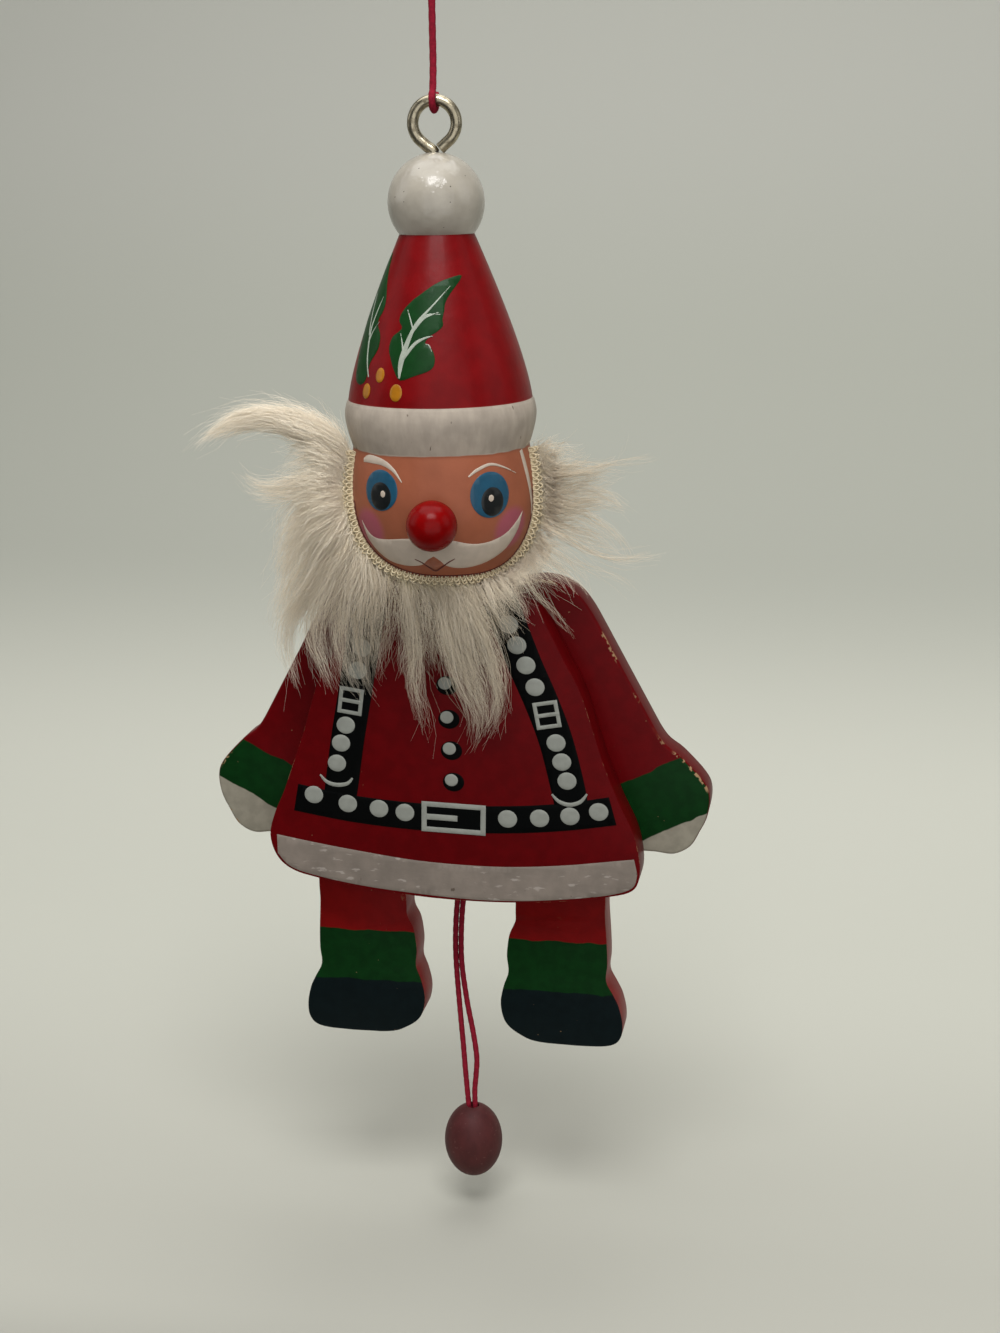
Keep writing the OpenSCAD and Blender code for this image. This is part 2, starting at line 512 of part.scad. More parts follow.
screw_eye();
pompom_ball();
head();
nose();
neck_dowel();
coat_plate();
left_arm();
right_arm();
left_leg();
right_leg();
left_shoulder_screw();
right_shoulder_screw();
left_hip_screw();
right_hip_screw();
shoulder_washers();
hip_washers();
left_arm_tack();
right_arm_tack();
left_leg_tack();
right_leg_tack();
beard_strip();
beard_fur();
arm_cord();
leg_cord();
link_cord();
arm_knot();
leg_knot();
pull_cord_left();
pull_cord_right();
pull_bead();
bead_knot();
hanging_cord();
hanging_knot();
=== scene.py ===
"""A painted wooden pull string jumping jack with a fur beard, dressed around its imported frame."""

import json
import math

import bmesh
import bpy
import numpy as np
from mathutils import Matrix, Vector, geometry


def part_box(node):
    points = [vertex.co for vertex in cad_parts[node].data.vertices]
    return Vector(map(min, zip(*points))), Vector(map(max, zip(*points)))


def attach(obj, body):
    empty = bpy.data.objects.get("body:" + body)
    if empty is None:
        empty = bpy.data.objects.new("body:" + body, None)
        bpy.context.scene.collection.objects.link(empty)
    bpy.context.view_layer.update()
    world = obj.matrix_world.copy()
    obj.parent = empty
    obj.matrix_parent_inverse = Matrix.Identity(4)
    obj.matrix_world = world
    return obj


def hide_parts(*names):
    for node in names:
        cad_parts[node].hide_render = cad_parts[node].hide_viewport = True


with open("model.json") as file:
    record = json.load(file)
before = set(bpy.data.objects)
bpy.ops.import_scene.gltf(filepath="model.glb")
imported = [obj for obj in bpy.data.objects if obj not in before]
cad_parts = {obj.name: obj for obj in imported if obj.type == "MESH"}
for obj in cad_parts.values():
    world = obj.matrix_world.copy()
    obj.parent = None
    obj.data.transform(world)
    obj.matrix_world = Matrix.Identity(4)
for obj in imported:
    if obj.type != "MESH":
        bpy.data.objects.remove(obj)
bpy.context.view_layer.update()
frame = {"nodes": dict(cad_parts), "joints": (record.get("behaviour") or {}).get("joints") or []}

bl_info = {
    "name": "Jumping Jack Workshop",
    "version": (1, 0, 0),
    "blender": (4, 5, 0),
    "location": "View3D > Sidebar > Jumping Jack",
    "description": "Builds the painted surfaces, cords and fur of a pull string jumping jack",
    "category": "Object",
}

MM = 0.001
# The photograph's height in pixels, and its camera as fitted: place in metres, and axes right, up and back
PHOTO_H = 1333
CAMERA_PLACE = (0.086782, -0.386511, -0.005936)
CAMERA_AXES = ((0.9822563, 0.1869889, -0.0144122), (-0.0348291, 0.2573880, 0.9656802),
               (0.1842810, -0.9480435, 0.2593337))
FILM_STEP = 0.04 * MM  # from one level of paint to the next


def low(node):
    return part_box(node)[0]


def high(node):
    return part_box(node)[1]


# Heights and radii of the turned head, read from the frame where it holds them
HAT_TOP = high("head").z
COAT_TOP = low("head").z
BRIM_R = high("head").x
HEAD_R = 19.5 * MM
BRIM_TOP = HAT_TOP - 33.0 * MM
BRIM_H = 9.6 * MM
BRIM_TUCK = 1.2 * MM
BRIM_SHARES = [(0.7, 0.05), (0.89, 0.16), (1, 0.29), (0.95, 0.43), (0.8, 0.57), (0.57, 0.72), (0.3, 0.86), (0, 1)]
FACE_TOP = BRIM_TOP - BRIM_H
FACE_H = FACE_TOP - COAT_TOP
HAT_TOP_R = 7.6 * MM
JAW_H = 20.0 * MM
JAW_FLAT_SHARE = 0.36
JAW_TOP = COAT_TOP + JAW_H * math.sqrt(1 - JAW_FLAT_SHARE ** 2)
COAT_FRONT = low("coat_plate").y
CORD_Y = (low("link_cord").y + high("link_cord").y) / 2
COAT_X = (low("link_cord").x + high("link_cord").x) / 2


def smooth_line(points, steps):
    """A Catmull-Rom line through the points"""
    p = [np.array(q, float) for q in points]
    line = []
    for i in range(len(p) - 1):
        a, b, c, d = p[max(i - 1, 0)], p[i], p[i + 1], p[min(i + 2, len(p) - 1)]
        for s in range(steps):
            t = s / steps
            line.append(0.5 * (2 * b + (c - a) * t + (2 * a - 5 * b + 4 * c - d) * t * t
                               + (3 * b - a - 3 * c + d) * t ** 3))
    return line + [p[-1]]


class JackSizes(bpy.types.PropertyGroup):
    """Sizes of the finish that the maker can change"""

    paint_lift: bpy.props.FloatProperty(
        name="Paint thickness", description="How far a brushed mark stands off the wood",
        default=0.09 * MM, min=0.02 * MM, max=0.3 * MM, unit="LENGTH")
    edge_round: bpy.props.FloatProperty(
        name="Eased edge", description="Radius sanded onto the edges of the plates",
        default=0.7 * MM, min=0.2 * MM, max=1.5 * MM, unit="LENGTH")
    cord_d: bpy.props.FloatProperty(
        name="Pull cord", description="Diameter of one strand of the pull cord",
        default=1.2 * MM, min=0.8 * MM, max=2 * MM, unit="LENGTH")
    hang_cord_d: bpy.props.FloatProperty(
        name="Hanging cord", description="Diameter of the hanging cord",
        default=1.5 * MM, min=1 * MM, max=2.5 * MM, unit="LENGTH")
    lay_share: bpy.props.FloatProperty(
        name="Lay of the cords", description="Length of one full twist, in cord diameters",
        default=3.4, min=2, max=8)


class BeardSettings(bpy.types.PropertyGroup):
    """Settings of the fur"""

    density: bpy.props.FloatProperty(
        name="Density", description="Hairs drawn, as a share of the number in the table of locks",
        default=1.05, min=0.1, max=1.5)
    undercoat: bpy.props.FloatProperty(
        name="Undercoat", description="Short hairs for each long one", default=0.6, min=0, max=2)
    hair_d: bpy.props.FloatProperty(
        name="Hair thickness", description="Diameter of a drawn hair at its root",
        default=0.08 * MM, min=0.04 * MM, max=0.4 * MM, unit="LENGTH")
    frizz: bpy.props.FloatProperty(
        name="Frizz", description="How far the pile wanders towards its tips",
        default=2.0 * MM, min=0, max=5 * MM, unit="LENGTH")
    seed: bpy.props.IntProperty(name="Seed", description="Seed of the fur's random draws", default=11)


class PaintColours(bpy.types.PropertyGroup):
    """Colours of the paints, as sRGB"""

    red: bpy.props.StringProperty(name="Coat red", description="Coat and limb enamel", default="#5c0206")
    hat_red: bpy.props.StringProperty(name="Hat red", description="Hat enamel", default="#740408")
    # Leg red is the coat red made lighter: painted light, so that the legs do not look shaded under the coat
    leg_red_painted_light: bpy.props.StringProperty(name="Leg red", description="Trouser enamel", default="#780a0a")
    green: bpy.props.StringProperty(name="Green", description="Cuff and trouser enamel", default="#08300f")
    black: bpy.props.StringProperty(name="Black", description="Belt and boot enamel", default="#091416")
    white: bpy.props.StringProperty(name="White", description="Brim enamel", default="#aea294")
    # Glove white is darker than the brim's white: partly its own greyer paint, partly painted shade lower on the
    # figure
    glove: bpy.props.StringProperty(name="Glove white", description="Glove enamel", default="#958f80")
    # Hem white is darker than the brim's white: partly greyer paint, partly painted shade that deepens towards the
    # bottom of the figure
    hem: bpy.props.StringProperty(name="Hem white", description="Hem enamel", default="#857a70")
    flesh: bpy.props.StringProperty(name="Flesh", description="Face enamel", default="#995940")
    grey: bpy.props.StringProperty(name="Grey", description="Studs and buckles", default="#8f9189")


class StageSettings(bpy.types.PropertyGroup):
    """Settings of the stage"""

    floor_gap: bpy.props.FloatProperty(
        name="Floor gap", description="Room between the bead and the floor, more than the pull's travel",
        default=8.4 * MM, min=0, max=60 * MM, unit="LENGTH")
    focal_px: bpy.props.FloatProperty(
        name="Focal length", description="Focal length in pixels of a frame 1333 high",
        default=1912.5, min=800, max=4000)


def to_linear(code, share=1.0):
    """A hex sRGB colour as linear RGBA, darkened by a share below 1"""
    parts = [int(code[i:i + 2], 16) / 255 for i in (1, 3, 5)]
    return tuple(share * (c / 12.92 if c <= 0.04045 else ((c + 0.055) / 1.055) ** 2.4) for c in parts) + (1.0,)


def add(tree, kind, inputs=None, **settings):
    """One node with its settings; an input is a value, a socket, or a node whose first output it takes"""
    node = tree.nodes.new(kind)
    for name, value in settings.items():
        setattr(node, name, value)
    for key, value in (inputs or {}).items():
        if isinstance(value, bpy.types.Node):
            value = value.outputs[0]
        if isinstance(value, bpy.types.NodeSocket):
            tree.links.new(value, node.inputs[key])
        else:
            node.inputs[key].default_value = value
    return node


class Finish:
    """A material under construction: its tree, its shader and its coordinates"""

    def __init__(self, name, roughness, **fixed):
        self.material = bpy.data.materials.new(name)
        self.material.use_nodes = True
        self.tree = self.material.node_tree
        self.tree.nodes.clear()
        self.shader = add(self.tree, "ShaderNodeBsdfPrincipled", {"Roughness": roughness, **fixed})
        add(self.tree, "ShaderNodeOutputMaterial", {"Surface": self.shader})
        self.coords = add(self.tree, "ShaderNodeTexCoord").outputs

    def node(self, kind, inputs, out=0, **settings):
        """An output of one more node of the tree"""
        return add(self.tree, "ShaderNode" + kind, inputs, **settings).outputs[out]

    def pattern(self, size, detail, stretch=(1, 1, 1)):
        """Noise whose lumps are about size across, stretched along the axes"""
        spot = self.node("Mapping", {"Vector": self.coords["Object"], "Scale": tuple(1 / s for s in stretch)})
        return self.node("TexNoise", {"Vector": spot, "Scale": 1 / size, "Detail": detail})

    def mask(self, *parts):
        """The product of its parts: shares, sockets, or (socket, start, end) that rise softly from 0 to 1"""
        whole = None
        for part in parts:
            if isinstance(part, tuple):
                part = self.node("MapRange", dict(enumerate(part)), interpolation_type="SMOOTHSTEP")
            whole = part if whole is None else self.node("Math", {0: whole, 1: part}, operation="MULTIPLY")
        return whole

    def laid(self, under, over, *mask):
        """One colour laid over another where the mask is 1; the mix node's colours are sockets 6 and 7"""
        return self.node("Mix", {0: self.mask(*mask), 6: under, 7: over}, 2, data_type="RGBA")

    def done(self, colour, height=None, distance=0.0, strength=1.0, **patterned):
        """The material, with its colour, its relief and what else a pattern changes"""
        patterned["Base Color"] = colour
        if height is not None:
            patterned["Normal"] = self.node("Bump", {"Height": height, "Distance": distance, "Strength": strength})
        for name, value in patterned.items():
            self.tree.links.new(value, self.shader.inputs[name])
        return self.material


def brushed(finish, code, darker, size=2.2 * MM, stretch=(1, 1, 1)):
    """Enamel laid on by brush: the colour varies a little along the strokes"""
    return finish.laid(to_linear(code), to_linear(code, darker), (finish.pattern(size, 4, stretch), 0.3, 0.7))


def enamel(name, code, roughness=0.34, coat=0.2, darker=0.8, shine=0.35):
    """Oil enamel brushed onto primed wood: deep colour, a soft gloss and faint brush marks"""
    finish = Finish(name, roughness, **{"Coat Weight": coat, "Coat Roughness": 0.15, "Specular IOR Level": shine})
    return finish.done(brushed(finish, code, darker), finish.pattern(0.9 * MM, 3), 0.06 * MM, 0.35)


def old_white(finish, code, stretch):
    """Old white enamel brushed on thickly: soft strokes, grey smudges and a few small dark nicks"""
    white = brushed(finish, code, 0.86, 1.7 * MM, stretch)
    white = finish.laid(white, to_linear(code, 0.62), (finish.pattern(6 * MM, 4), 0.42, 0.72), 0.5)
    nick = finish.pattern(1.5 * MM, 3, stretch)
    return finish.laid(white, to_linear("#4a3d33"), (nick, 0.715, 0.74), 0.75)


def hem_paint(code):
    """The hem's band of dull white, scuffed and a little lilac from the red beneath; its white is darker than the
    brim's, partly greyer paint and partly painted shade of the figure's low front
    """
    finish = Finish("hem_white_and_painted_shade", 0.5, **{"Specular IOR Level": 0.3})
    scuff = finish.pattern(1.6 * MM, 4, (2.2, 1, 0.7))
    colour = finish.laid(old_white(finish, code, (1.6, 1, 2)), to_linear("#b3aaa2"), (scuff, 0.62, 0.7), 0.5)
    return finish.done(colour, finish.pattern(0.9 * MM, 3, (2, 1, 1)), 0.09 * MM, 0.5)


def plate_paint(name, zones, centre, axis, ground):
    """Sawn plywood painted in its ground red all over, with zones of other colours brushed on its front only.

    zones are (distance along axis from centre, colour, darker share) from the nearest outwards. The paint is
    chipped to the pale wood along the outer edges, in thin runs."""
    finish = Finish(name, 0.5, **{"Specular IOR Level": 0.08})
    facing = finish.node("SeparateXYZ", {0: finish.coords["Normal"]}, 1)
    away = finish.node("VectorMath", {0: finish.coords["Object"], 1: centre}, operation="SUBTRACT")
    along = finish.node("VectorMath", {0: away, 1: axis}, 1, operation="DOT_PRODUCT")
    wobble, soft = 1.6 * MM, 0.12 * MM
    line = finish.node("Math", {0: finish.pattern(5 * MM, 2), 1: wobble, 2: along}, operation="MULTIPLY_ADD")
    red = face = brushed(finish, ground, 0.82, 3 * MM)
    for start, code, darker in zones:
        edge = start + wobble / 2
        face = finish.laid(face, brushed(finish, code, darker, 2.4 * MM), (line, edge - soft, edge + soft))
    rim = finish.mask((facing, -0.2, -0.5), (facing, -0.99, -0.93))
    chips = finish.mask((finish.pattern(1.1 * MM, 4), 0.5, 0.54), (finish.pattern(9 * MM, 1), 0.55, 0.62), rim)
    specks = finish.mask((finish.pattern(1.0 * MM, 2), 0.775, 0.79), 0.6)
    bare = finish.node("Math", {0: chips, 1: specks}, operation="MAXIMUM")
    wood = finish.laid(to_linear("#a88b68"), to_linear("#7d5f42"), finish.pattern(0.6 * MM, 3, (1, 1, 5)))
    rough = finish.node("Math", {0: bare, 1: 0.3, 2: 0.4}, operation="MULTIPLY_ADD")
    colour = finish.laid(finish.laid(red, face, (facing, -0.55, -0.75)), wood, bare)
    return finish.done(colour, finish.pattern(1.1 * MM, 4), 0.08 * MM, 0.4, Roughness=rough)


def metal(name, code, roughness):
    """Plated steel or brass, dulled by handling: a soft gleam, greyer where grime lies"""
    finish = Finish(name, roughness, Metallic=1.0)
    grime = finish.pattern(0.5 * MM, 3)
    rough = finish.node("Math", {0: grime, 1: 0.25, 2: roughness - 0.1}, operation="MULTIPLY_ADD")
    return finish.done(brushed(finish, code, 0.6, 2 * MM), grime, 0.01 * MM, 0.3, Roughness=rough)


def new_object(name, data, *materials):
    piece = bpy.data.objects.new(name, data)
    bpy.context.scene.collection.objects.link(piece)
    for material in materials:
        data.materials.append(material)
    return piece


def smooth(mesh, sharp=math.pi):
    """Shades a mesh smooth, apart from edges sharper than the angle"""
    mesh.polygons.foreach_set("use_smooth", [True] * len(mesh.polygons))
    mesh.set_sharp_from_angle(angle=sharp)


def finished(shell, mesh, sharp=math.pi):
    """Ends work on a shell: its faces go into the mesh, shaded smooth"""
    shell.to_mesh(mesh)
    shell.free()
    smooth(mesh, sharp)
    return mesh


def build(name, points, faces, material, sharp=math.radians(40)):
    """A mesh object with outward normals, smooth apart from edges sharper than the angle"""
    mesh = bpy.data.meshes.new(name)
    mesh.from_pydata([tuple(p) for p in points], [], faces)
    shell = bmesh.new()
    shell.from_mesh(mesh)
    bmesh.ops.remove_doubles(shell, verts=shell.verts, dist=1e-7)
    bmesh.ops.recalc_face_normals(shell, faces=shell.faces)
    return new_object(name, finished(shell, mesh, sharp), material)


def discard(piece):
    mesh = piece.data
    bpy.data.objects.remove(piece)
    bpy.data.meshes.remove(mesh)


def place(piece, body, slot, *nodes):
    """Rides on its body and stands for nodes; the slot is not used"""
    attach(piece, body)
    if nodes:
        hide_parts(*nodes)
    return piece


def closed_line(points, steps):
    """A Catmull-Rom loop through the points"""
    n = len(points)
    ring = [points[(i - 1) % n] for i in range(n + 3)]
    return smooth_line(ring, steps)[steps:-1 - steps]


def sweep(route, outline, twist=0.0):
    """A closed tube: an outline of (across, up) points carried along a route, turning by twist per metre"""
    route = [Vector(p) for p in route]
    n, sides = len(route), len(outline)
    ahead = [(route[min(i + 1, n - 1)] - route[max(i - 1, 0)]).normalized() for i in range(n)]
    across = ahead[0].orthogonal().normalized()
    points, run = [], 0.0
    for i in range(n):
        if i:
            run += (route[i] - route[i - 1]).length
        across = (across - ahead[i] * across.dot(ahead[i])).normalized()
        up = ahead[i].cross(across)
        c, s = math.cos(run * twist), math.sin(run * twist)
        points += [route[i] + (across * (a * c - b * s) + up * (a * s + b * c)) for a, b in outline]
    faces = [(i * sides + j, (i + 1) * sides + j, (i + 1) * sides + (j + 1) % sides, i * sides + (j + 1) % sides)
             for i in range(n - 1) for j in range(sides)]
    return points, faces + [tuple(range(sides)), tuple((n - 1) * sides + j for j in reversed(range(sides)))]


def ring_outline(radius, sides):
    """A round outline for a sweep"""
    return [(radius * math.cos(2 * math.pi * k / sides), radius * math.sin(2 * math.pi * k / sides))
            for k in range(sides)]


def two_ply(diameter, sides=14):
    """The outline of two plies lying side by side, drawn in to a waist between them"""
    waist, outline = 0.9, []
    for k in range(sides):
        a = 2 * math.pi * k / sides
        r = diameter / 2 * (waist + (1 - waist) * abs(math.cos(a)) ** 0.8)
        outline.append((r * math.cos(a), r * math.sin(a)))
    return outline


def lathe(profile, sides, centre=(0, 0)):
    """A profile of (radius, z) turned about an upright axis; a radius of 0 closes it"""
    points, rows, faces = [], [], []
    for r, z in profile:
        count = sides if r > 1e-9 else 1
        rows.append([len(points) + k % count for k in range(sides)])
        points += [(centre[0] + r * math.cos(2 * math.pi * k / sides),
                    centre[1] + r * math.sin(2 * math.pi * k / sides), z) for k in range(count)]
    for a, b in zip(rows, rows[1:]):
        for k in range(sides):
            m = (k + 1) % sides
            faces.append(tuple(dict.fromkeys((a[k], a[m], b[m], b[k]))))
    return points, [face for face in faces if len(face) > 2]


def jaw_r(z):
    """Radius of the face: it swells down from the groove under the brim and then closes in an ellipse"""
    if z > JAW_TOP:
        return HEAD_R - BRIM_TUCK * min(1.0, (z - JAW_TOP) / (FACE_TOP - JAW_TOP)) ** 2
    return HEAD_R * math.sqrt(max(0.0, 1 - ((JAW_TOP - z) / JAW_H) ** 2))


def hat_point(t):
    """The hat's swelling side, from its top at 0 to the brim at 1"""
    mid = (0.908 * HEAD_R, HAT_TOP - 0.71 * (HAT_TOP - BRIM_TOP))
    return tuple((1 - t) ** 2 * a + 2 * t * (1 - t) * m + t * t * b
                 for a, m, b in zip((HAT_TOP_R, HAT_TOP), mid, (HEAD_R - 0.4 * BRIM_TUCK, BRIM_TOP)))


def head_side():
    """Radius and height down the head's side, from the hat's top to the coat"""
    groove = HEAD_R - BRIM_TUCK
    brim = smooth_line([(groove + r * (BRIM_R - groove), BRIM_TOP - h * BRIM_H) for r, h in BRIM_SHARES], 5)
    side = [hat_point(i / 48) for i in range(49)] + [tuple(q) for q in brim]
    side += [(jaw_r(z), z) for z in np.linspace(FACE_TOP, JAW_TOP, 16)[1:]]
    side += [(HEAD_R * math.cos(a), JAW_TOP - JAW_H * math.sin(a))
             for a in np.linspace(0, math.acos(JAW_FLAT_SHARE), 28)[1:]]
    return side


HEAD_SIDE = head_side()


def head_r(z):
    """Radius of the head's skin at a height, or at each of several"""
    radii, heights = zip(*HEAD_SIDE[::-1])
    return np.interp(z, heights, radii)


def head_skin(u, z, lift):
    """A place on the head: u runs round it in metres on the face's radius, from the front"""
    a, r = u / HEAD_R, float(head_r(z)) + lift
    return Vector((r * math.sin(a), -r * math.cos(a), z))


def coat_skin(x, z, lift):
    """A place on the coat's front"""
    return Vector((x, COAT_FRONT - lift, z))


def around(angle_z):
    """Places given as (degrees round the head, z in mm) as lengths on its skin"""
    return [(math.radians(a) * HEAD_R, z * MM) for a, z in angle_z]


def in_mm(points):
    """Places given in mm, in metres"""
    return [(x * MM, z * MM) for x, z in points]


def inset(outline, distance):
    """The outline moved inwards, wherever it turns"""
    n = len(outline)
    area = sum(a[0] * b[1] - b[0] * a[1] for a, b in zip(outline, outline[1:] + outline[:1]))
    side = 1 if area > 0 else -1
    moved = []
    for i in range(n):
        a, b, c = (Vector(outline[k % n]) for k in (i - 1, i, i + 1))
        d, e, way = b - a, c - b, Vector((0, 0))
        if min(d.length, e.length) > 1e-9:
            d.normalize()
            e.normalize()
            way = Vector((-(d.y + e.y), d.x + e.x))
        if way.length > 1e-6:
            way.normalize()
            b += way * side * distance / max(0.5, way.dot(Vector((-d.y, d.x))))
        moved.append(tuple(b))
    return moved


def film(name, outline, skin, level, thickness, material):
    """A brushed mark: a thin closed skin of paint over an outline, with a soft rim"""
    grid, sink, edge, rim_share = 1.3 * MM, 0.06 * MM, 0.1 * MM, 0.3
    inner = inset(outline, edge)
    n = len(inner)
    (x0, z0), (x1, z1) = np.min(inner, axis=0).tolist(), np.max(inner, axis=0).tolist()
    nx, nz = (max(2, int(size / grid)) for size in (x1 - x0, z1 - z0))
    fill = [(x0 + (i + 0.5) * (x1 - x0) / nx, z0 + (j + 0.5) * (z1 - z0) / nz)
            for i in range(nx) for j in range(nz)]
    verts, _, tris, *_ = geometry.delaunay_2d_cdt(
        [Vector(p) for p in inner + fill], [(i, (i + 1) % n) for i in range(n)], [list(range(n))], 1, 1e-7)
    points = [skin(*v, lift) for lift in (level + thickness, -sink) for v in verts]
    m = len(verts)
    faces = [tuple(t) for t in tris] + [tuple(m + i for i in reversed(t)) for t in tris]
    sides = dict.fromkeys((t[i], t[(i + 1) % len(t)]) for t in tris for i in range(len(t)))
    open_sides = [(a, b) for a, b in sides if (b, a) not in sides]
    shoulder = {}
    for i in dict.fromkeys(i for side in open_sides for i in side):
        gap, k = min(((Vector(inner[k]) - verts[i]).length, k) for k in range(n))
        shoulder[i] = len(points)
        points.append(skin(*(outline[k] if gap < 2e-6 else verts[i]), level + thickness * rim_share))
    for a, b in open_sides:
        faces += [(b, a, shoulder[a], shoulder[b]), (shoulder[b], shoulder[a], m + a, m + b)]
    return build(name, points, faces, material, math.radians(60))


def join(name, pieces):
    """Several meshes, each of one material, as one piece"""
    shell, materials = bmesh.new(), []
    for piece in pieces:
        material, start = piece.data.materials[0], len(shell.faces)
        if material not in materials:
            materials.append(material)
        shell.from_mesh(piece.data)
        shell.faces.ensure_lookup_table()
        for face in shell.faces[start:]:
            face.material_index = materials.index(material)
        discard(piece)
    mesh = bpy.data.meshes.new(name)
    shell.to_mesh(mesh)
    shell.free()
    return new_object(name, mesh, *materials)


def turned(centre, places, tilt):
    """Places (x, z) turned by tilt, and moved so that (0, 0) lies at the centre"""
    c, s = math.cos(tilt), math.sin(tilt)
    return [(centre[0] + x * c - z * s, centre[1] + x * s + z * c) for x, z in places]


def disc(centre, radius, squash=1.0, tilt=0.0, sides=28):
    """A round outline about (x, z)"""
    angles = [2 * math.pi * k / sides for k in range(sides)]
    return turned(centre, [(radius * math.cos(a), radius * squash * math.sin(a)) for a in angles], tilt)


def stroke(points, widths, steps=8):
    """The outline of a brush stroke along points, with a width at each of them"""
    line = smooth_line([(p[0], p[1], w) for p, w in zip(points, widths)], steps)
    left, right = [], []
    for i, (x, z, w) in enumerate(line):
        a, b = line[max(i - 1, 0)], line[min(i + 1, len(line) - 1)]
        d = Vector((b[0] - a[0], b[1] - a[1])).normalized()
        left.append((x - d.y * w / 2, z + d.x * w / 2))
        right.append((x + d.y * w / 2, z - d.x * w / 2))
    return left + right[::-1]


def frame_outline(centre, width, height, tilt=0.0):
    """A rectangle about (x, z)"""
    corners = ((-1, -1), (1, -1), (1, 1), (-1, 1))
    return turned(centre, [(x * width / 2, z * height / 2) for x, z in corners], tilt)


def finer(outline, most):
    """The outline with more points, so that none of its sides is longer than most"""
    fine = []
    for i, p in enumerate(outline):
        q = outline[(i + 1) % len(outline)]
        count = max(1, math.ceil(math.hypot(q[0] - p[0], q[1] - p[1]) / most))
        fine += [(p[0] + (q[0] - p[0]) * k / count, p[1] + (q[1] - p[1]) * k / count) for k in range(count)]
    return fine


# Fur and strip: the strip's inner edge on the face, as degrees round the head and shares of the face
STRIP_SHARES = [(-60, 0.03), (-60, 0.23), (-57, 0.4), (-52, 0.6), (-43, 0.73), (-31, 0.805), (-13, 0.85),
                (8, 0.865), (31, 0.868), (52, 0.862), (70, 0.825), (80, 0.75), (85, 0.59), (86, 0.33), (87, 0.03)]
STRIP_LINE = smooth_line(STRIP_SHARES, 12)
STRIP_W = 4.8 * MM
STRIP_T = 1.0 * MM
# Drawing of the hairs: steps of a lock's middle line and of each hair, and hairs to a strand
GUIDE_STEP, HAIR_STEPS, STRAND_HAIRS = 0.8 * MM, 8, 9
